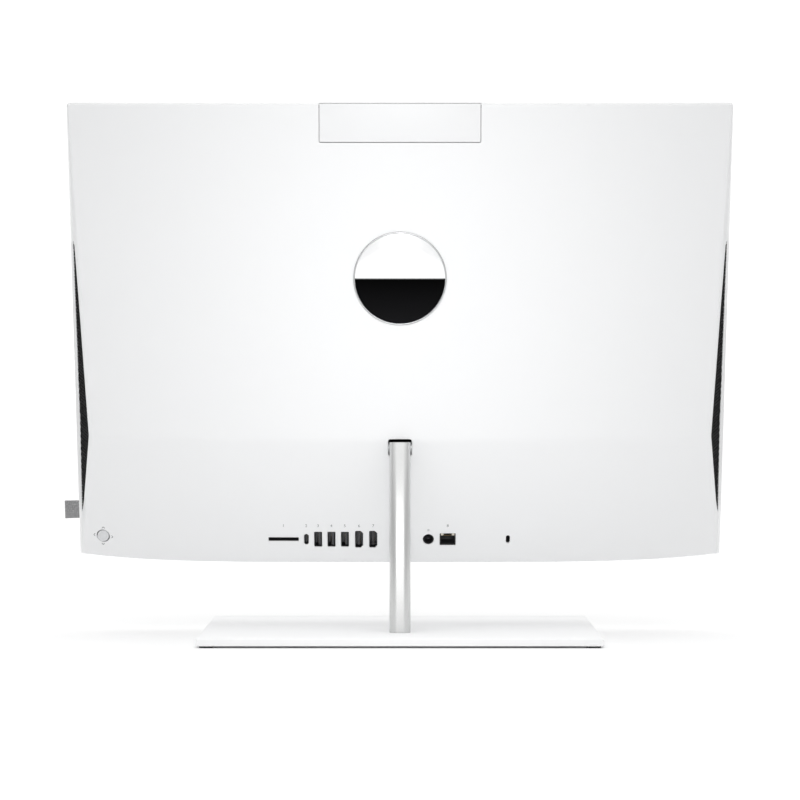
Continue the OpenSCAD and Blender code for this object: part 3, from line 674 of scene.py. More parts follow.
copper = finish(
    "bare_copper", (0.68, 0.33, 0.2), 0.3, metal=1.0, grain=0.4, depth=0.006, clouds=0.2,
    cloud_size=9.0, brush=(0.05, 1.0, 1.0), wear_and_light_edge=(0.85, 0.5, 0.36),
)
brass = finish(
    "turned_brass", (0.6, 0.45, 0.2), 0.3, metal=1.0, grain=0.2, depth=0.006, clouds=0.12,
    cloud_size=5.0, wear_and_light_edge=(0.8, 0.66, 0.36),
)
contact_gold = finish(
    "contact_gold", (0.46, 0.32, 0.13), 0.35, metal=1.0, grain=0.2, depth=0.003, clouds=0.08,
    cloud_size=3.0,
)
chip_epoxy = finish(
    "moulded_epoxy", (0.03, 0.03, 0.033), 0.55, grain=0.25, depth=0.01, clouds=0.15,
    cloud_size=6.0, wear_and_light_edge=(0.1, 0.1, 0.1), wear_and_light_amount=0.4, wear_and_light_width=0.2,
)
mark_ink = finish(
    "grey_ink", (0.2, 0.205, 0.21), 0.6, grain=0.15, depth=0.004, clouds=0.12, cloud_size=1.5
)
beige_light = finish(
    "beige_light_window", (0.62, 0.58, 0.48), 0.35, grain=0.4, depth=0.004, clouds=0.08,
    cloud_size=2.0,
)
vent_black = finish(
    "black_mesh_paint", (0.006, 0.006, 0.0065), 0.6, grain=0.4, depth=0.01, clouds=0.2,
    cloud_size=6.0, wear_and_light_edge=(0.025, 0.025, 0.025), wear_and_light_amount=0.4, wear_and_light_width=0.15,
    fixed={"Specular IOR Level": 0.08},
)
print("finishes", len(bpy.data.materials))

# %% [markdown]
# ## Rear cover
# On the real machine this is one thin moulding with rounded side edges, and everything else
# looks out through it. A subdivided cage could give the soft form, but the openings would
# pull it out of shape. So the skin is lofted from the formulas, hollowed by a second loft,
# and the openings are cut last, each with a small bevelled lip that follows the slope.

# %% Rear cover skin
COVER_LOW, COVER_HIGH = 0.8, TOP_V - 0.8
COVER_WALL, SIDE_WALL = 2.2, 1.7
RIM_ROUND = 0.9
SKIN_COLUMNS = 120
skin_share = np.sin(np.radians(90 * np.linspace(-1, 1, SKIN_COLUMNS + 1)))


def corner_curve(a, b, c, steps=7):
    t = np.linspace(0, 1, steps)[:, None]
    return (1 - t) ** 2 * np.array(a) + 2 * t * (1 - t) * np.array(b) + t**2 * np.array(c)


def outer_ring(v, inset=0.0):
    wide, foot, deep = float(edge_x(v)), float(foot_x(v)), float(edge_n(v))
    turn = min(2.0, 0.45 * (deep - FRAME_DEPTH))
    lean = (foot - wide) / (deep - FRAME_DEPTH)
    x = skin_share * (wide - turn)
    n = surface_n(x, v)
    on_wall = (wide + lean * turn, deep - turn)
    soft = corner_curve(on_wall, (wide, deep), (x[-1], n[-1]))[:-1]
    right = [(foot, FRAME_DEPTH)] + [tuple(p) for p in soft]
    skin = list(zip(x[::-1], n[::-1]))
    left = [(-a, b) for a, b in reversed(right)]
    squeeze = 1 - inset / wide
    return [(a * squeeze, max(b - inset, FRAME_DEPTH), v) for a, b in right + skin + left]


def inner_ring(v, front):
    wide, foot = float(edge_x(v)) - COVER_WALL, float(foot_x(v)) - SIDE_WALL
    x = skin_share * wide
    n = surface_n(x * (wide + COVER_WALL) / wide, v) - COVER_WALL
    n = np.maximum(n, FRAME_DEPTH + 0.5)
    low, high = [(foot, front), (foot, FRAME_DEPTH)], [(-foot, FRAME_DEPTH), (-foot, front)]
    return [(a, b, v) for a, b in low + list(zip(x[::-1], n[::-1])) + high]


def rows_between(low, high, pitch):
    spread = [low, *np.arange(low + pitch, RIDGE_V - 5, pitch)]
    spread += list(RIDGE_V + np.linspace(-4.5, 4.5, 10))
    return spread + [*np.arange(RIDGE_V + 5 + pitch, high - pitch / 2, pitch), high]


def sheer_end(v, way):
    """Three rings that round the skin over into its top or bottom end."""
    turn = [math.radians(a) for a in (80, 52, 26)]
    return [
        outer_ring(v + way * RIM_ROUND * (1 - math.sin(a)), RIM_ROUND * (1 - math.cos(a)) * 0.8)
        for a in turn
    ]


body_rows = rows_between(COVER_LOW + RIM_ROUND, COVER_HIGH - RIM_ROUND, 4.6)
outer_rings = sheer_end(COVER_LOW, 1) + [outer_ring(v) for v in body_rows]
outer_rings += sheer_end(COVER_HIGH, -1)[::-1]
inner_rows = rows_between(COVER_LOW + COVER_WALL, COVER_HIGH - 12, 9.0)
inner_rings = [inner_ring(v, 5.0) for v in inner_rows]
cover_mesh = build_mesh("cover_skin", *loft(outer_rings), place=DRAWN)
print("cover skin", len(cover_mesh.polygons), "faces")

# %% Openings
LIP, CUT_DEPTH, CUT_FLOOR_N = 0.45, 12.0, 14.0


def opening_tool(outline, centre, lip=LIP, deep=CUT_DEPTH):
    """A cutter whose rim opens out by a small bevel where it meets the sloping skin."""
    rings = []
    for growth, rise in ((0.0, -deep), (0.0, -lip), (2.2 * lip, 1.2 * lip), (2.2 * lip, 30.0)):
        ring = []
        for px, pv in grown(outline, growth) if growth else outline:
            x, v = centre[0] + px, centre[1] + pv
            depth = float(surface_n(x, v))
            ring.append((x, depth + rise if rise < 20 else 75.0, v))
        rings.append(ring)
    if deep == CUT_DEPTH:
        rings[0] = [(x, CUT_FLOOR_N, v) for x, n, v in rings[0]]
    return loft(rings)


def cut_corner(width, height, cut, radius=0.9):
    """A video socket's outline: two square corners and two cut ones on the -x side."""
    w, h = width / 2, height / 2
    shape = [(w, -h + radius), (w, h - radius), (w - radius * 0.3, h - radius * 0.3), (w - radius, h)]
    shape += [(-w + cut, h), (-w, h - cut), (-w, -h + cut), (-w + cut, -h)]
    return shape + [(w - radius, -h), (w - radius * 0.3, -h + radius * 0.3)]


CARD_X, USB_C_X, USB_A_X, VIDEO_X = 97.0, 78.0, (68.2, 57.1, 45.9), (34.1, 22.3)
INLET_X, NETWORK_X, LOCK_X = -23.6, -39.7, -89.9
LIGHT_V = SOCKET_V + 8.4
JOYSTICK_X, JOYSTICK_V, JOYSTICK_N = 249.3, 19.7, 10.5
BUTTON_X, BUTTON_N = HALF_W * 0.741, 18.0
BADGE_V = TOP_V - 139.9
CAMERA_V = TOP_V - 30.8
circle = [(math.cos(math.radians(a)), math.sin(math.radians(a))) for a in range(0, 360, 6)]


def round_outline(radius, step=1):
    return [(radius * a, radius * b) for a, b in circle[::step]]


tools = [
    opening_tool(rounded_outline(25.3, 3.3, 0.5), (CARD_X, SOCKET_V)),
    opening_tool(rounded_outline(3.9, 9.5, 1.94), (USB_C_X, SOCKET_V)),
    opening_tool(rounded_outline(13.3, 10.8, 0.6), (NETWORK_X, SOCKET_V)),
    opening_tool(rounded_outline(3.3, 6.9, 1.6), (LOCK_X, SOCKET_V)),
    opening_tool(round_outline(4.6), (INLET_X, SOCKET_V)),
    opening_tool(round_outline(1.0, 3), (INLET_X, LIGHT_V), 0.15),
    opening_tool(round_outline(5.6), (JOYSTICK_X, JOYSTICK_V), 0.3, 11.0),
    opening_tool(rounded_outline(19.2, 14.7, 1.6), (0.0, 104.85)),
]
tools += [opening_tool(rounded_outline(6.6, 13.6, 0.7), (x, SOCKET_V)) for x in USB_A_X]
tools += [opening_tool(cut_corner(6.7, 15.3, 2.0), (x, SOCKET_V)) for x in VIDEO_X]
print("openings", len(tools))

# %% Cut the cover
NOTCH_HALF, NOTCH_ROUND = 65.9, 1.2
notch_outline = [(NOTCH_HALF, TOP_V + 30), (-NOTCH_HALF, TOP_V + 30)]
for side in (-1, 1):
    for a in (0, 30, 60, 90) if side < 0 else (90, 60, 30, 0):
        round_x = NOTCH_ROUND * (1 - math.cos(math.radians(a)))
        round_v = NOTCH_ROUND * (1 - math.sin(math.radians(a)))
        notch_outline.append((side * (NOTCH_HALF - round_x), CAMERA_V - 0.5 + round_v))
notch_tool = loft([[(x, n, v) for x, v in notch_outline] for n in (2.0, 30.0)])
button_tool = loft(
    [[(BUTTON_X + a, BUTTON_N + b, v) for a, b in rounded_outline(12.6, 5.6, 1.2)] for v in (-1.0, 5.0)]
)
SLOPE = math.atan(float(surface_n(0, BADGE_V - 20) - surface_n(0, BADGE_V + 20)) / 40)
BADGE_PLACE = (
    Matrix.Translation((0, float(surface_n(0, BADGE_V)), BADGE_V)) @ Matrix.Rotation(SLOPE, 4, "X")
)
disc = [[BADGE_PLACE @ Vector((38.3 * a, n, 38.3 * b)) for a, b in circle[::-1]] for n in (-0.75, 6.0)]
VENT_FRONT = 7.5
VENT_OUTLINE = [(VENT_FRONT, 37), (10.5, 39), (15.8, 50), (23.6, 75), (34.6, 111), (19.6, 220),
                (12.6, 266), (VENT_FRONT, 270)]
vent_tools = [
    loft([
        [(side * x, n - slant if n < 8 else n, v) for n, v in VENT_OUTLINE]
        for x, slant in ((HALF_W - 22, 6.0), (HALF_W + 4, -1.6))
    ])
    for side in (-1, 1)
]
cover_mesh = cut(cover_mesh, [loft(inner_rings)])
cover_mesh = cut(cover_mesh, tools + [notch_tool, button_tool, loft(disc), *vent_tools])
cover_mesh.transform(HOUSING)
put("cover_moulding", cover_mesh, "display", white_shell, ["rear_cover"], 24)
print("cover", len(cover_mesh.polygons), "faces")

# %% [markdown]
# ## Frame, base plate and post
# The white frame holds the glass and shows behind the cover as a thin bright strip. The base
# is a flat steel plate with sharp corners and a bevel that catches the light all round. The
# post is a drawn oval section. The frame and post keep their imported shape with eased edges,
# and the plate is lofted, because its bevels differ at the top and the bottom.

# %% Frame and base plate
put("front_frame_tray", eased_copy("front_frame", 0.4, 3), "display", frame_white,
    ["front_frame"], 30)
PLATE_W, PLATE_D, PLATE_LOW, PLATE_TOP = 321.5, 204.5, 1.6, 7.7
plate_rings = []
plate_steps = ((PLATE_LOW, 0.5), (PLATE_LOW + 0.35, 0.15), (PLATE_LOW + 0.7, 0.0),
               (PLATE_TOP - 1.0, 0.0), (PLATE_TOP - 0.9, 0.02), (PLATE_TOP - 0.05, 0.86),
               (PLATE_TOP, 1.0))
for z, inset in plate_steps:
    outline = rounded_outline(PLATE_W - 2 * inset, PLATE_D - 2 * inset, 1.5 - 0.6 * inset)
    plate_rings.append([(x, y, z) for x, y in outline])
POST_Y, SCREW_X = 51.0, (-4.5, 4.5)


def upright(x, y, radii):
    return loft([[(x + r * a, y + r * b, z) for a, b in circle] for r, z in radii])


plate_mesh = build_mesh("plate", *loft(plate_rings), place=DRAWN)
screw_holes = ((4.3, 0.0), (4.3, 4.5), (2.7, 4.5), (2.7, 9.0))
plate_mesh = cut(plate_mesh, [upright(x, POST_Y - 1, screw_holes) for x in SCREW_X])
plate_mesh.transform(MM)
put("base_plate", plate_mesh, "stand", base_paint, ["stand_base"], 20)
put("base_pads", eased_copy("base_feet", 0.35, 2), "stand", foot_rubber, ["base_feet"])
put("post", eased_copy("neck_column", 0.35, 2, 40), "stand", neck_metal,
    ["neck_column"], 35)
print("plate", PLATE_W, "x", PLATE_D)

# %% [markdown]
# ## Round badge
# A polished disc sits in a shallow recess of the upper slope. It is left without any mark.
# Polished metal in a white room looks half white and half black, because it mirrors the far
# edge of the table. That edge could be left to the room, but it would be lost in other rooms,
# so the reflection is painted into the disc itself: a painted light upper half of satin white that
# mirrors only a little, and a painted dark lower half of bare polished metal, split by a soft line.

# %% Badge finish
BADGE_MIDDLE = HOUSING @ BADGE_PLACE @ Vector((0, 0, 0))
badge_mirror, net, mirror = bare_material("mirror_badge")
spot = add(net, "ShaderNodeTexCoord").outputs["Object"]
height = add(net, "ShaderNodeSeparateXYZ", {0: spot}).outputs["Z"]
BADGE_R, SPLIT_HALF = 38.0, 0.0006
# Painted reflection: the disc is near-white above its middle and near-black below it, growing darker towards
# its lower edge.
reflection_split = rescale(net, height, BADGE_MIDDLE.z - SPLIT_HALF, BADGE_MIDDLE.z + SPLIT_HALF, 0.0, 1.0)
reflection_fade = rescale(net, height, BADGE_MIDDLE.z - BADGE_R / 1000, BADGE_MIDDLE.z, 0.0, 1.0)
painted_reflection_dark = blend_colour(net, reflection_fade, rgba((0.01, 0.01, 0.011)), rgba((0.002, 0.002, 0.002)))
painted_reflection_tone = blend_colour(net, reflection_split, painted_reflection_dark, rgba((0.93, 0.935, 0.94)))
hazy = place_group(net, handling_group, Place=spot, Size_mm=14.0, Amount=0.06)
polish = place_group(net, grain_group, Place=spot, Size_mm=0.3, Contrast=0.6)
hazy_painted_reflection = blend_colour(net, 1.0, painted_reflection_tone, grey(net, hazy["Shade"]), "MULTIPLY")
net.links.new(hazy_painted_reflection, mirror.inputs["Base Color"])
net.links.new(rescale(net, reflection_split, 0.0, 1.0, 1.0, 0.25), mirror.inputs["Metallic"])
net.links.new(calc(net, "MULTIPLY_ADD", hazy["Rougher"], 1.2, 0.09), mirror.inputs["Roughness"])
fine_bump = add(net, "ShaderNodeBump", {"Strength": 0.2, "Distance": 0.000002, "Height": polish["Height"]})
net.links.new(fine_bump.outputs["Normal"], mirror.inputs["Normal"])
badge_rim = finish(
    "brushed_badge_rim", (0.46, 0.465, 0.47), 0.25, metal=1.0, grain=0.3, depth=0.004, clouds=0.1,
    cloud_size=9.0, brush=(1.0, 0.1, 1.0),
)
print("badge middle", [round(c, 4) for c in BADGE_MIDDLE])

# %% Badge
disc_profile = [(0, -0.7), (BADGE_R - 1.25, -0.7), (BADGE_R - 1.25, 0.12), (BADGE_R - 1.5, 0.2),
                (BADGE_R * 0.6, 0.21), (0, 0.22)]
rim_profile = [(BADGE_R - 1.2, -0.7), (BADGE_R, -0.7), (BADGE_R, 0.22), (BADGE_R - 0.12, 0.42),
               (BADGE_R - 0.4, 0.5), (BADGE_R - 0.9, 0.5), (BADGE_R - 1.12, 0.4), (BADGE_R - 1.2, 0.2)]
badge_turn = HOUSING @ BADGE_PLACE
put("badge_disc", build_mesh("badge_disc", *lathe(disc_profile, 120), place=badge_turn), "display",
    badge_mirror, ["round_badge"], 40)
put("badge_rim", build_mesh("badge_rim", *lathe(rim_profile, 120), place=badge_turn), "display",
    badge_rim, (), 40)
print("badge", 2 * BADGE_R, "mm across")

# %% [markdown]
# ## Pop-up camera
# A slim box slides up out of the top edge. Its back is a piece of the same white moulding,
# set in the cover with an even gap, and its front holds the lens. The lens could be a disc
# with a picture on it, but turned rings with real steps catch the light as glass does.

# %% Camera box
put("camera_cap", eased_copy("camera_rear_cap", 0.5, 3), "camera", white_shell,
    ["camera_rear_cap"])
put("camera_box", eased_copy("camera_housing", 0.25, 2), "camera", dark_plastic,
    ["camera_housing"])
LENS_V = TOP_V - 13
lens_glass = finish(
    "coated_lens", (0.006, 0.006, 0.016), 0.06, grain=0.2, depth=0.001, clouds=0.3, cloud_size=3.0,
    fixed={"Coat Weight": 1.0, "Coat Roughness": 0.02, "Specular IOR Level": 0.8,
           "Coat Tint": rgba((0.6, 0.7, 1.0))},
)
barrel = [(1.95, 4.95), (2.05, 4.75), (2.6, 4.72), (2.95, 4.8), (3.0, 5.0), (3.0, 5.55), (4.2, 5.55),
          (4.2, 6.8), (1.0, 6.8), (1.0, 6.4), (1.95, 6.4)]
dome = [(0, 5.05), (0.7, 5.1), (1.3, 5.22), (1.94, 5.45), (1.94, 6.3), (0, 6.3)]
put("lens_barrel", build_mesh("lens_barrel", *lathe(barrel, 48, (0, LENS_V))), "camera", dark_plastic,
    ["camera_lens"], 35)
put("lens_dome", build_mesh("lens_dome", *lathe(dome, 48, (0, LENS_V))), "camera", lens_glass,
    (), 35)
for k, x in enumerate((-14.0, 14.0)):
    window = [(0, 4.8), (1.1, 4.85), (1.15, 5.4), (0, 5.4)]
    put(f"camera_window_{k + 1}", build_mesh("window", *lathe(window, 24, (x, LENS_V))), "camera",
        lens_glass)
print("camera box and lens")

# %% [markdown]
# ## Menu joystick
# A small round stick in a hole near the corner moves a menu on the screen. Its cap is dished
# so that a fingertip holds it, and its edge is slightly rounded. It is turned on a lathe here,
# and rides on the last of the three small bodies that let it tip both ways and click.

# %% Joystick
CAP_R = 4.9
CAP_TOP = float(surface_n(JOYSTICK_X, JOYSTICK_V)) + 0.4
cap_profile = [(0, JOYSTICK_N + 3.4), (2.8, JOYSTICK_N + 3.4), (2.8, CAP_TOP - 2.4),
               (CAP_R - 0.2, CAP_TOP - 2.4), (CAP_R, CAP_TOP - 2.2), (CAP_R, CAP_TOP - 0.75),
               (CAP_R - 0.12, CAP_TOP - 0.38), (CAP_R - 0.42, CAP_TOP - 0.1), (CAP_R - 0.8, CAP_TOP),
               (CAP_R - 1.2, CAP_TOP - 0.06), (CAP_R - 2.0, CAP_TOP - 0.38),
               (CAP_R - 3.2, CAP_TOP - 0.62), (0, CAP_TOP - 0.75)]
cap_mesh = build_mesh("stick_cap", *lathe(cap_profile, 64, (JOYSTICK_X, JOYSTICK_V)))
put("stick_cap", cap_mesh, "joystick_knob", rail_plastic, ["joystick_cap"], 35)
print("stick cap", 2 * CAP_R, "mm")

# %% [markdown]
# ## Copies along a line, with Geometry Nodes
# Socket contacts, cooling fins and memory chips are one small block repeated at even steps.
# They could be written out one by one, but a Geometry Nodes tree with named inputs makes any
# such row from its count, start, step and size. The result is turned into a plain mesh.


# %% Row tree
row_tree, r_in, r_out = new_group(
    "row_of_blocks",
    "GeometryNodeTree",
    [
        ("Count", "Int", 4),
        ("Start", "Vector", None),
        ("Step", "Vector", None),
        ("Size", "Vector", None),
        ("Finish", "Material", None),
    ],
    [("Blocks", "Geometry")],
)
row_line = add(
    row_tree,
    "GeometryNodeMeshLine",
    {"Count": r_in["Count"], "Start Location": r_in["Start"], "Offset": r_in["Step"]},
)
row_block = add(row_tree, "GeometryNodeMeshCube", {"Size": r_in["Size"]})
row_copies = add(
    row_tree,
    "GeometryNodeInstanceOnPoints",
    {"Points": row_line.outputs[0], "Instance": row_block.outputs["Mesh"]},
)
row_real = add(row_tree, "GeometryNodeRealizeInstances", {0: row_copies.outputs[0]})
row_painted = add(
    row_tree, "GeometryNodeSetMaterial", {"Geometry": row_real.outputs[0], "Material": r_in["Finish"]}
)
row_tree.links.new(row_painted.outputs[0], r_out.inputs[0])
print("tree", row_tree.name)


# %% Run a tree
def grow_tree(tree, values, mesh=None, place=HOUSING):
    """Runs a Geometry Nodes tree with its inputs set by identifier and returns a plain mesh."""
    holder = bpy.data.objects.new("nursery", mesh or bpy.data.meshes.new("nursery"))
    scene.collection.objects.link(holder)
    step = holder.modifiers.new("grow", "NODES")
    step.node_group = tree
    for item in tree.interface.items_tree:
        if item.in_out == "INPUT" and item.name in values:
            step[item.identifier] = values[item.name]
    bpy.context.view_layer.update()
    ready = holder.evaluated_get(bpy.context.evaluated_depsgraph_get())
    result = bpy.data.meshes.new_from_object(ready)
    bpy.data.objects.remove(holder)
    result.transform(place)
    if place.determinant() < 0:
        result.flip_normals()
    return result


def merged(meshes, name="merged"):
    """One mesh from several that share a finish."""
    bm = bmesh.new()
    for mesh in meshes:
        bm.from_mesh(mesh)
    result = bpy.data.meshes.new(name)
    bm.to_mesh(result)
    bm.free()
    return result


def block_row(count, start, step, size, material, place=HOUSING):
    values = {"Count": count, "Start": start, "Step": step, "Size": size, "Finish": material}
    return grow_tree(row_tree, values, place=place)


print("row test", len(block_row(3, (0, 0, 0), (0, 0, 2), (1, 1, 1), dark_plastic).polygons), "faces")

# %% [markdown]
# ## Sockets
# Each socket is a steel shell behind its opening, with a dark tongue that carries gold
# contacts. From a step away they read as black slots, but close up the rim of the shell, the
# tongue and the contacts all show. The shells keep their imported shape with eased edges.

# %% Socket shells
moulded_shells = {"card_reader": "card_slot_shell", "power_inlet": "power_inlet_shell",
                  "network_socket": "network_shell"}
steel_shells = {"usb_c_socket": "usb_c_shell", "usb_a_sockets": "usb_a_shells",
                "video_sockets": "video_shells"}
for node, piece in moulded_shells.items():
    put(piece, eased_copy(node, 0.12, 2), "display", dark_plastic, [node])
for node, piece in steel_shells.items():
    put(piece, eased_copy(node, 0.1, 2), "display", socket_steel, [node])
put("lock_slot_plate", eased_copy("lock_plate", 0.3, 2), "display", socket_steel,
    ["lock_plate"])


def pocket(x, width, height, low, high, wall=0.5):
    """A shallow cup behind an opening, open towards the back."""
    inside = rounded_outline(width, height, 1.0)
    outside = rounded_outline(width + 2 * wall, height + 2 * wall, 1.3)
    steps = ((inside, low + wall), (inside, high), (outside, high), (outside, low))
    return loft([[(x + a, n, SOCKET_V + b) for a, b in outline] for outline, n in steps])


LOCK_LOW, LOCK_HIGH = 20.3, 27.0
cup_mesh = build_mesh("cup", *pocket(LOCK_X, 5.0, 8.6, LOCK_LOW, LOCK_HIGH))
put("lock_slot_cup", cup_mesh, "display", dark_plastic)


def face_n(x, height):
    return float(surface_n(x, SOCKET_V - height / 2)) - 0.5


contacts = []
for x in USB_A_X:
    n = face_n(x, 13.2)
    contacts.append(block_row(
        5, (x - 0.2, n - 6.6, SOCKET_V - 4.4), (0, 0, 2.2), (0.16, 7.0, 1.0), contact_gold))
for x in VIDEO_X:
    n = face_n(x, 14.9)
    for side in (-1, 1):
        contacts.append(block_row(
            10, (x + side * 0.76, n - 6.0, SOCKET_V - 4.95), (0, 0, 1.1), (0.1, 6.0, 0.5), contact_gold))
n = face_n(USB_C_X, 9.1)
for side in (-1, 1):
    contacts.append(block_row(
        12, (USB_C_X + side * 0.41, n - 4.8, SOCKET_V - 2.75), (0, 0, 0.5), (0.06, 4.5, 0.25), contact_gold))
n = face_n(NETWORK_X, 10.4)
contacts.append(block_row(
    8, (NETWORK_X - 3.57, n - 9.5, SOCKET_V + 1.6), (1.02, 0, 0), (0.42, 9.0, 0.3), contact_gold))
put("socket_contacts", merged(contacts, "contacts"), "display", contact_gold, (), 30)
lamp_window = rounded_outline(2.2, 1.7, 0.25)
lights = [
    loft([
        [(NETWORK_X + side * 4.55 + a, n + 0.02 - d, SOCKET_V + 3.95 + b) for a, b in lamp_window]
        for d in (-0.02, 0.5)
    ])
    for side in (-1, 1)
]
put("network_lights", build_mesh("lights", *join_parts(*lights)), "display", beige_light)
print("contacts", pieces_made["socket_contacts"], "faces")

# %% [markdown]
# ## Parts on the boards
# The circuit board carries rows of small parts: memory chips, power coils beside the
# processor, capacitors and one large chip. The same row tree lays them out. They are hidden in
# daily use, but they make sense of the inside when the cover is taken off.

# %% Board parts
BOARD_N, MEMORY_N = 20.0, 24.2
chips = [
    block_row(4, (x, MEMORY_N + 0.35, v), (16.0, 0, 0), (11.0, 0.9, 8.5), chip_epoxy)
    for x in (-30.0, 47.0) for v in (46.0, 58.0)
]
put("memory_chips", merged(chips, "memory_chips"), "display", chip_epoxy)
coils = [
    block_row(7, (-61.0, BOARD_N + 1.6, 128.0), (0, 0, 6.8), (6.0, 3.2, 5.6), dark_plastic),
    block_row(1, (45.0, BOARD_N + 0.7, 120.0), (0, 0, 1), (22.0, 1.4, 22.0), dark_plastic),
    block_row(5, (-20.0, BOARD_N + 0.5, 150.0), (9.0, 0, 0), (4.2, 1.0, 5.2), dark_plastic),
]
put("power_coils", merged(coils, "power_coils"), "display", dark_plastic)
small_parts = [
    block_row(16, (-52.0, BOARD_N + 0.45, 112.0 + 3.1 * k), (5.2, 0, 0), (1.6, 0.9, 0.9), zinc_screws)
    for k in range(4)
]
put("board_capacitors", merged(small_parts, "board_capacitors"), "display", zinc_screws)
print("board parts", pieces_made["board_capacitors"], "faces of capacitors")

# %% [markdown]
# ## Marks beside the openings
# Printed marks tell the sockets apart. Plain numbers take the place of printed words and signs.
# They could be painted in the cover's material, but raised ink as a very thin layer stays
# sharp from any distance. Four small chevrons point away from the joystick.


# %% Marks
def ink_layer(name, shapes):
    """Thin solids that follow the skin, from flat outlines in x and v."""
    parts = []
    for points, faces in shapes:
        low = [(x, float(surface_n(x, v)) - 0.03, v) for x, v in points]
        high = [(x, float(surface_n(x, v)) + 0.05, v) for x, v in points]
        count, edges = len(points), {}
        for f in faces:
            for a, b in zip(f, f[1:] + f[:1]):
                edges[(a, b)] = edges.get((a, b), 0) + 1
        rim = [e for e in edges if (e[1], e[0]) not in edges]
        solid = [tuple(f) for f in faces] + [tuple(count + i for i in reversed(f)) for f in faces]
        solid += [(b, a, count + a, count + b) for a, b in rim]
        parts.append((low + high, solid))
    put(name, build_mesh(name, *join_parts(*parts)), "display", mark_ink)


def number_shape(text, x, v, size):
    curve = bpy.data.curves.new("number", "FONT")
    curve.body, curve.size = text, size
    curve.align_x, curve.align_y = "CENTER", "CENTER"
    curve.resolution_u = 3
    holder = bpy.data.objects.new("number", curve)
    scene.collection.objects.link(holder)
    bpy.context.view_layer.update()
    flat = bpy.data.meshes.new_from_object(holder.evaluated_get(bpy.context.evaluated_depsgraph_get()))
    bpy.data.objects.remove(holder)
    points = [(x - p.co.x, v + p.co.y) for p in flat.vertices]
    return points, [tuple(f.vertices) for f in flat.polygons]


numbered = [CARD_X, USB_C_X, *USB_A_X, *VIDEO_X, NETWORK_X]
NUMBER_V, NUMBER_SIZE, CHEVRON_R = 34.3, 3.6, 7.9
numbers = [number_shape(str(k + 1), x, NUMBER_V, NUMBER_SIZE) for k, x in enumerate(numbered)]
ink_layer("socket_numbers", numbers)
chevrons = []
for turn in (3, 93, 183, 273):
    c, s = math.cos(math.radians(turn)), math.sin(math.radians(turn))
    shape = [(-1.25, -0.4), (0, 0.6), (1.25, -0.4), (1.25, -1.1), (0, -0.1), (-1.25, -1.1)]
    shape = [(a, b + CHEVRON_R) for a, b in shape]
    points = [(JOYSTICK_X + a * c - b * s, JOYSTICK_V + a * s + b * c) for a, b in shape]
    chevrons.append((points, [(0, 1, 4, 5), (1, 2, 3, 4)]))
ink_layer("joystick_chevrons", chevrons)
print("marks", len(numbered) + len(chevrons))

# %% [markdown]
# ## Side vents
# Warm air leaves through two long triangles in the cover's side walls, closed by a black
# honeycomb sheet. The honeycomb is a Geometry Nodes tree: a grid of points with every other
# row shifted by half a step, kept where the sheet lies over them, each given one small ring.
# A bump pattern would be quicker, but it has no depth from the side. A thin near-black felt
# behind each honeycomb is painted shade: it stands in for the dark inside of the machine and keeps daylight
# from showing through it.

# %% Honeycomb tree
comb_tree, c_in, c_out = new_group(
    "honeycomb_sheet",
    "GeometryNodeTree",
    [
        ("Sheet", "Geometry", None),
        ("Pitch", "Float", 3.2),
        ("Wall", "Float", 0.5),
        ("Thickness", "Float", 0.8),
        ("Width", "Float", 60.0),
        ("Height", "Float", 300.0),
        ("Columns", "Int", 20),
        ("Rows", "Int", 100),
        ("Finish", "Material", None),
    ],
    [("Honeycomb", "Geometry")],
)
comb_grid = add(
    comb_tree,
    "GeometryNodeMeshGrid",
    {"Size X": c_in["Width"], "Size Y": c_in["Height"], "Vertices X": c_in["Columns"],
     "Vertices Y": c_in["Rows"]},
).outputs["Mesh"]
comb_place = add(comb_tree, "GeometryNodeInputPosition").outputs[0]
row_height = calc(comb_tree, "MULTIPLY", c_in["Pitch"], math.sqrt(3) / 2)
row_y = add(comb_tree, "ShaderNodeSeparateXYZ", {0: comb_place}).outputs["Y"]
row_number = calc(comb_tree, "ROUND", calc(comb_tree, "DIVIDE", row_y, row_height))
row_odd = calc(comb_tree, "ABSOLUTE", calc(comb_tree, "MODULO", row_number, 2.0))
row_shift = calc(comb_tree, "MULTIPLY", row_odd, calc(comb_tree, "MULTIPLY", c_in["Pitch"], 0.5))
shift_vector = add(comb_tree, "ShaderNodeCombineXYZ", {0: row_shift}).outputs[0]
comb_points = add(
    comb_tree, "GeometryNodeSetPosition", {"Geometry": comb_grid, "Offset": shift_vector}
).outputs[0]
above = add(comb_tree, "ShaderNodeVectorMath", {0: comb_place, 1: (0, 0, 5.0)}).outputs[0]
over_sheet = add(
    comb_tree,
    "GeometryNodeRaycast",
    {"Target Geometry": c_in["Sheet"], "Source Position": above, "Ray Direction": (0, 0, -1),
     "Ray Length": 10.0},
).outputs["Is Hit"]
off_sheet = add(comb_tree, "FunctionNodeBooleanMath", {0: over_sheet}, {"operation": "NOT"}).outputs[0]
comb_kept = add(
    comb_tree, "GeometryNodeDeleteGeometry", {"Geometry": comb_points, "Selection": off_sheet},
    {"domain": "POINT"},
).outputs[0]
CELL_LAP = 0.012
cell_clear = calc(comb_tree, "SUBTRACT", c_in["Pitch"], c_in["Wall"])
cell_reach = calc(comb_tree, "MULTIPLY", cell_clear, 1 / math.sqrt(3))
cell_radius = calc(comb_tree, "ADD", cell_reach, CELL_LAP)
cell_path = add(
    comb_tree, "GeometryNodeCurvePrimitiveCircle", {"Resolution": 6, "Radius": cell_radius}
).outputs[0]
cell_turned = add(
    comb_tree, "GeometryNodeTransform", {"Geometry": cell_path, "Rotation": (0, 0, math.radians(30))}
).outputs[0]
cell_section = add(
    comb_tree, "GeometryNodeCurvePrimitiveQuadrilateral",
    {"Width": c_in["Wall"], "Height": c_in["Thickness"]},
).outputs[0]
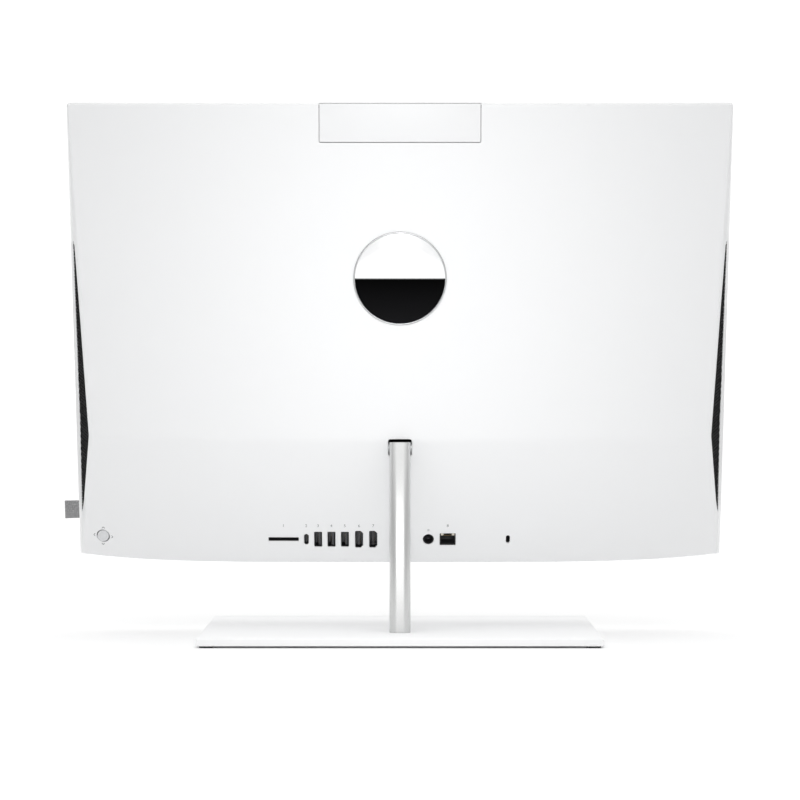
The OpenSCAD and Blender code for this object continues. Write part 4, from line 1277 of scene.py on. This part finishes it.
cell = add(comb_tree, "GeometryNodeCurveToMesh", {0: cell_turned, 1: cell_section}).outputs[0]
comb_copies = add(
    comb_tree, "GeometryNodeInstanceOnPoints", {"Points": comb_kept, "Instance": cell}
).outputs[0]
comb_real = add(comb_tree, "GeometryNodeRealizeInstances", {0: comb_copies}).outputs[0]
comb_painted = add(comb_tree, "GeometryNodeSetMaterial", {"Geometry": comb_real, "Material": c_in["Finish"]})
comb_tree.links.new(comb_painted.outputs[0], c_out.inputs[0])
print("tree", comb_tree.name)

# %% Vent sheets
WALL_ANGLE = math.atan((float(foot_x(RIDGE_V)) - float(edge_x(RIDGE_V))) / (38.0 - FRAME_DEPTH))
COMB_PITCH, COMB_WALL, COMB_THICK, COMB_DEPTH = 3.1, 0.5, 0.8, 0.75
COMB_ROWS, COMB_COLUMNS = 98, 16
COMB_MIDDLE = Vector((14.0, 153.0, 0.0))


def along_wall(n):
    return (n - FRAME_DEPTH) / math.cos(WALL_ANGLE)


def laid_on_wall(mesh, side):
    """Bends a flat sheet (along, up, out) onto the side wall and sinks it under the skin."""
    c, s = math.cos(WALL_ANGLE), math.sin(WALL_ANGLE)
    for vertex in mesh.vertices:
        along, v, out = vertex.co
        out -= COMB_DEPTH
        wide = float(foot_x(v)) - along * s + out * c
        vertex.co = (side * wide, FRAME_DEPTH + along * c + out * s, v)
    mesh.transform(HOUSING)
    if side < 0:
        mesh.flip_normals()
    return mesh


sheet_outline = [(along_wall(n) + (0.4 if n > 8 else -0.3), v) for n, v in VENT_OUTLINE]
for side, word in ((1, "right"), (-1, "left")):
    flat = bpy.data.meshes.new("sheet")
    corners = [Vector((a, b, 0)) - COMB_MIDDLE for a, b in sheet_outline]
    flat.from_pydata(corners, [], [tuple(range(len(corners)))])
    comb = grow_tree(
        comb_tree,
        {
            "Pitch": COMB_PITCH, "Wall": COMB_WALL, "Thickness": COMB_THICK,
            "Width": COMB_PITCH * (COMB_COLUMNS - 1),
            "Height": COMB_PITCH * math.sqrt(3) / 2 * (COMB_ROWS - 1),
            "Columns": COMB_COLUMNS, "Rows": COMB_ROWS, "Finish": vent_black,
        },
        flat,
        place=Matrix.Translation(COMB_MIDDLE),
    )
    put(f"vent_sheet_{word}", laid_on_wall(comb, side), "display", vent_black,
        [f"side_vent_{word}"], 30)
print("honeycomb", pieces_made["vent_sheet_right"], "faces each")

# %% Painted shade sheets behind the vents
# Painted shade: near-black felt under each honeycomb stands in for the dark inside of the machine.
vent_shade_felt = finish(
    "vent_shade_felt", (0.003, 0.003, 0.0033), 0.9, grain=1.2, depth=0.08, clouds=0.35, cloud_size=10.0,
    fixed={"Specular IOR Level": 0.04},
)
FELT_NEAR, FELT_FAR = -0.7, -1.0
rear_edge = VENT_OUTLINE[1:-1]
shade_sheet_v = np.linspace(38.0, 269.0, 48)
shade_sheet_n = np.interp(shade_sheet_v, [v for n, v in rear_edge], [n for n, v in rear_edge])
for side, word in ((1, "right"), (-1, "left")):
    rings = []
    for v, n in zip(shade_sheet_v, shade_sheet_n):
        near, far = along_wall(VENT_FRONT), along_wall(n)
        rings.append([(near, v, FELT_NEAR), (far, v, FELT_NEAR), (far, v, FELT_FAR), (near, v, FELT_FAR)])
    felt = laid_on_wall(build_mesh("dust_filter", *loft(rings), place=DRAWN), side)
    put(f"dust_filter_{word}", felt, "display", vent_shade_felt)
print("dust filters", pieces_made["dust_filter_right"], "faces each")

# %% [markdown]
# ## Cloth over the speakers and the woven label
# A grey melange cloth is stretched over the bar under the screen, and a folded ribbon sticks
# out of the side. A cloth simulation would only find the same flat, tight shape, so both are
# modelled directly: the cloth as one fine sheet whose edges turn back, and the ribbon as a
# loop with a slight twist. Their weave follows their own UV map, one unit to the metre.

# %% Weave group
weave_group, g_in, g_out = new_group(
    "plain_weave",
    "ShaderNodeTree",
    [("Place", "Vector", None), ("Across", "Float", 2200.0), ("Along", "Float", 2200.0)],
    [("Height", "Float"), ("Shade", "Float"), ("Fleck", "Float")],
)
stretch = add(weave_group, "ShaderNodeCombineXYZ", {0: g_in["Across"], 1: g_in["Along"], 2: 1.0}).outputs[0]
counted = add(
    weave_group, "ShaderNodeVectorMath", {0: g_in["Place"], 1: stretch}, {"operation": "MULTIPLY"}
).outputs[0]
split = add(weave_group, "ShaderNodeSeparateXYZ", {0: counted})
warp = calc(weave_group, "SINE", calc(weave_group, "MULTIPLY", split.outputs[0], math.pi))
weft = calc(weave_group, "SINE", calc(weave_group, "MULTIPLY", split.outputs[1], math.pi))
crossing = calc(weave_group, "MULTIPLY", warp, weft)
rise = calc(weave_group, "ABSOLUTE", warp)
fall = calc(weave_group, "ABSOLUTE", weft)
thread = calc(weave_group, "MAXIMUM", rise, fall)
bumpy = calc(weave_group, "MULTIPLY_ADD", crossing, 0.35, thread)
fibre = add(
    weave_group, "ShaderNodeTexNoise", {"Vector": counted, "Scale": 0.55, "Detail": 3.0, "Roughness": 0.7}
).outputs[0]
weave_group.links.new(bumpy, g_out.inputs["Height"])
weave_group.links.new(rescale(weave_group, bumpy, 0.2, 1.2, 0.55, 1.1), g_out.inputs["Shade"])
weave_group.links.new(rescale(weave_group, fibre, 0.38, 0.62, 0.0, 1.0), g_out.inputs["Fleck"])


def cloth_finish(name, pale, dark, across, along, depth):
    material, tree, shader = bare_material(name)
    place = add(tree, "ShaderNodeUVMap", (), {"uv_map": "weave"}).outputs["UV"]
    woven = place_group(tree, weave_group, Place=place, Across=across, Along=along)
    yarn = blend_colour(tree, woven["Fleck"], rgba(dark), rgba(pale))
    shaded = blend_colour(tree, 1.0, yarn, grey(tree, woven["Shade"]), "MULTIPLY")
    tree.links.new(shaded, shader.inputs["Base Color"])
    tree.links.new(rescale(tree, woven["Fleck"], 0, 1, 0.78, 0.9), shader.inputs["Roughness"])
    bump = add(tree, "ShaderNodeBump", {"Strength": 0.8, "Distance": depth / 1000, "Height": woven["Height"]})
    tree.links.new(bump.outputs["Normal"], shader.inputs["Normal"])
    shader.inputs["Sheen Weight"].default_value = 0.25
    shader.inputs["Sheen Roughness"].default_value = 0.5
    return material


grille_cloth = cloth_finish(
    "melange_cloth", (0.36, 0.365, 0.37), (0.13, 0.132, 0.138), 1500.0, 1500.0, 0.12
)
tag_weave = cloth_finish("label_weave", (0.42, 0.42, 0.425), (0.2, 0.2, 0.205), 2600.0, 1300.0, 0.1)
print("weave ready")


# %% Cloth and label
def woven_sheet(name, grid, along_lengths, across_lengths, thickness=0.0):
    """A sheet from a grid of points, with its flat lengths as a UV map in metres."""
    rows, columns = len(grid), len(grid[0])
    points = [p for row in grid for p in row]
    faces = [
        (j * columns + i, j * columns + i + 1, (j + 1) * columns + i + 1, (j + 1) * columns + i)
        for j in range(rows - 1)
        for i in range(columns - 1)
    ]
    mesh = bpy.data.meshes.new(name)
    mesh.from_pydata(points, [], faces)
    layer = mesh.uv_layers.new(name="weave")
    for loop in mesh.loops:
        j, i = divmod(loop.vertex_index, columns)
        layer.data[loop.index].uv = (across_lengths[i] / 1000, along_lengths[j] / 1000)
    mesh.transform(HOUSING)
    if not thickness:
        return mesh

    def build(holder):
        step = holder.modifiers.new("thicken", "SOLIDIFY")
        step.thickness, step.offset = thickness / 1000, 0.0

    return with_modifiers(mesh, build)


def lengths_of(line):
    out = [0.0]
    for a, b in zip(line, line[1:]):
        out.append(out[-1] + math.dist(a, b))
    return out


CHIN_V = 78.8
cloth_x, cloth_v = HALF_W - 1.95, (1.95, CHIN_V - 1.95)
turned = [(1.0, 1.75), (0.35, 1.2), (0.0, 0.72), (0.35, 0.56)]
across = [(-cloth_x + a, n) for a, n in turned[:3]] + [
    (x, 0.55) for x in np.linspace(-cloth_x + 0.5, cloth_x - 0.5, 121)
] + [(cloth_x - a, n) for a, n in turned[2::-1]]
upwards = [(cloth_v[0] + a, n) for a, n in turned[:3]] + [
    (v, 0.55) for v in np.linspace(cloth_v[0] + 0.5, cloth_v[1] - 0.5, 21)
] + [(cloth_v[1] - a, n) for a, n in turned[2::-1]]
cloth_grid = [[(x, max(n, m), v) for x, n in across] for v, m in upwards]
cloth_mesh = woven_sheet("speaker_cloth", cloth_grid, lengths_of(upwards), lengths_of(across))
speaker_cloth = put(
    "speaker_cloth", cloth_mesh, "display", grille_cloth, ["grille_fabric"], 60
)
loop = [(HALF_W - 1.8, 1.85), (HALF_W + 3, 1.78), (HALF_W + 7, 1.95), (HALF_W + 11.4, 1.9)]
loop += [
    (HALF_W + 11.9 + 0.55 * math.sin(a), 2.4 - 0.5 * math.cos(a))
    for a in np.radians([20, 55, 90, 125, 160])
]
loop += [(HALF_W + 11.4, 2.92), (HALF_W + 7, 2.85), (HALF_W + 3, 3.0), (HALF_W - 1.8, 2.95)]
TAG_LOW, TAG_HIGH = 30.5, 45.5
tag_v = [TAG_LOW, TAG_LOW + 0.5, *np.linspace(TAG_LOW + 1.5, TAG_HIGH - 1.5, 7), TAG_HIGH - 0.5,
         TAG_HIGH]


def tag_point(x, n, v):
    """A point of the ribbon, a little wavy and with its lower half drooping more."""
    droop = 0.035 * (x - HALF_W) * (1 if v < 38 else 0.2)
    return x, n + 0.05 * math.sin(v * 1.3 + x), v - droop


tag_grid = [[tag_point(x, n, v) for x, n in loop] for v in tag_v]
tag_rows = [v - TAG_LOW for v in tag_v]
tag_mesh = woven_sheet("woven_label", tag_grid, tag_rows, lengths_of(loop), 0.35)
side_tag = put("woven_label", tag_mesh, "display", tag_weave, ["side_fabric_tag"], 50)

# %% [markdown]
# ## Screen
# The front is one sheet of dark glass. Behind it the picture area is a shade lighter and bluer
# than its border, which shows even when the screen is off. Real layers of clear glass over a
# panel would be truer, but they need many light bounces, so the two tones are in the coated
# glass itself.

# %% Screen finish
screen_glass, net, glass = bare_material("screen_glass")
spot = add(net, "ShaderNodeTexCoord").outputs["Object"]
axes = add(net, "ShaderNodeSeparateXYZ", {0: spot})
SCREEN_BORDER, CHIN_BORDER = 7.0, 6.5
panel_top = (HOUSING @ Vector((0, 0, TOP_V - SCREEN_BORDER))).z
panel_low = (HOUSING @ Vector((0, 0, CHIN_V + CHIN_BORDER))).z
in_x = calc(net, "LESS_THAN", calc(net, "ABSOLUTE", axes.outputs["X"]), (HALF_W - SCREEN_BORDER) / 1000)
under_top = calc(net, "LESS_THAN", axes.outputs["Z"], panel_top)
over_low = calc(net, "GREATER_THAN", axes.outputs["Z"], panel_low)
in_z = calc(net, "MULTIPLY", under_top, over_low)
picture = calc(net, "MULTIPLY", in_x, in_z)
dust = place_group(net, handling_group, Place=spot, Size_mm=90.0, Amount=0.25)
tone = blend_colour(net, picture, rgba((0.004, 0.004, 0.005)), rgba((0.013, 0.015, 0.02)))
dusty_tone = blend_colour(net, 1.0, tone, grey(net, dust["Shade"]), "MULTIPLY")
net.links.new(dusty_tone, glass.inputs["Base Color"])
net.links.new(calc(net, "MULTIPLY_ADD", dust["Rougher"], 0.12, 0.07), glass.inputs["Roughness"])
glass.inputs["Specular IOR Level"].default_value = 0.45
glass.inputs["IOR"].default_value = 1.5
put("screen_glass_sheet", eased_copy("front_glass", 0.25, 3), "display", screen_glass,
    ["front_glass"])
print("screen")

# %% [markdown]
# ## Pieces that keep their imported shape
# The hinge, the chassis and the electronics are right as they were packed. They only get
# their finish, which takes the place of the materials that they came with.

# %% Finishes for imported pieces
board_green = finish(
    "solder_mask", (0.015, 0.075, 0.04), 0.35, grain=1.4, depth=0.01, clouds=0.35, cloud_size=7.0,
    wear_and_light_edge=(0.1, 0.2, 0.1), wear_and_light_amount=0.3, fixed={"Coat Weight": 0.3},
)
diffuser = finish("backlight_diffuser", (0.7, 0.71, 0.72), 0.6, grain=0.8, depth=0.01, clouds=0.04)
panel_film = finish("panel_film", (0.02, 0.02, 0.023), 0.2, grain=0.3, depth=0.002, clouds=0.1)
light_pipe = finish(
    "light_pipe", (0.85, 0.86, 0.87), 0.15, grain=0.3, depth=0.003, clouds=0.05, cloud_size=2.0,
    fixed={"Transmission Weight": 0.35},
)
kept = {
    "hinge_steel": (hinge_steel, ["hinge_pin", "hinge_washers", "hinge_nut"]),
    "zinc": (zinc_screws, ["neck_screws", "bracket_screws", "board_screws", "coin_cell"]),
    "sheet": (stamped_steel, ["hinge_bracket", "main_chassis", "drive_bracket"]),
    "dark": (dark_plastic, ["speaker_grille", "joystick_base", "camera_latch", "fan_housing", "fan_rotor",
                            "speaker_right", "speaker_left", "power_switch"]),
    "stick": (zinc_screws, ["joystick_yoke", "joystick_stem"]),
    "pale": (rail_plastic, ["camera_rails", "power_button"]),
    "metal": (carriage_metal, ["camera_carriage", "hard_drive", "fin_stack"]),
    "board": (board_green, ["motherboard", "camera_board", "memory_modules", "wireless_card"]),
    "chip": (chip_epoxy, ["processor", "solid_state_drive"]),
    "copper": (copper, ["cold_plate", "heat_pipe"]),
    "brass": (brass, ["board_standoffs"]),
    "panel": (panel_film, ["lcd_panel"]),
    "glow": (diffuser, ["backlight_unit"]),
    "pipe": (light_pipe, ["power_light"]),
}
for material, nodes in kept.values():
    for node in nodes:
        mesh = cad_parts[node].data
        mesh.materials.clear()
        mesh.materials.append(material)
print("kept", sum(len(nodes) for material, nodes in kept.values()))

# %% [markdown]
# ## Finish
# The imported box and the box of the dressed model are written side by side, so that their
# sizes can be compared.

# %% Sizes and finish
print("pieces", len(pieces_made), "faces", sum(pieces_made.values()))


def plain(value):
    if isinstance(value, dict):
        return {k: plain(v) for k, v in value.items()}
    return [plain(v) for v in value] if hasattr(value, "__len__") else float(value)


{"cad": plain(cad_bounds), "visual": plain(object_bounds())}
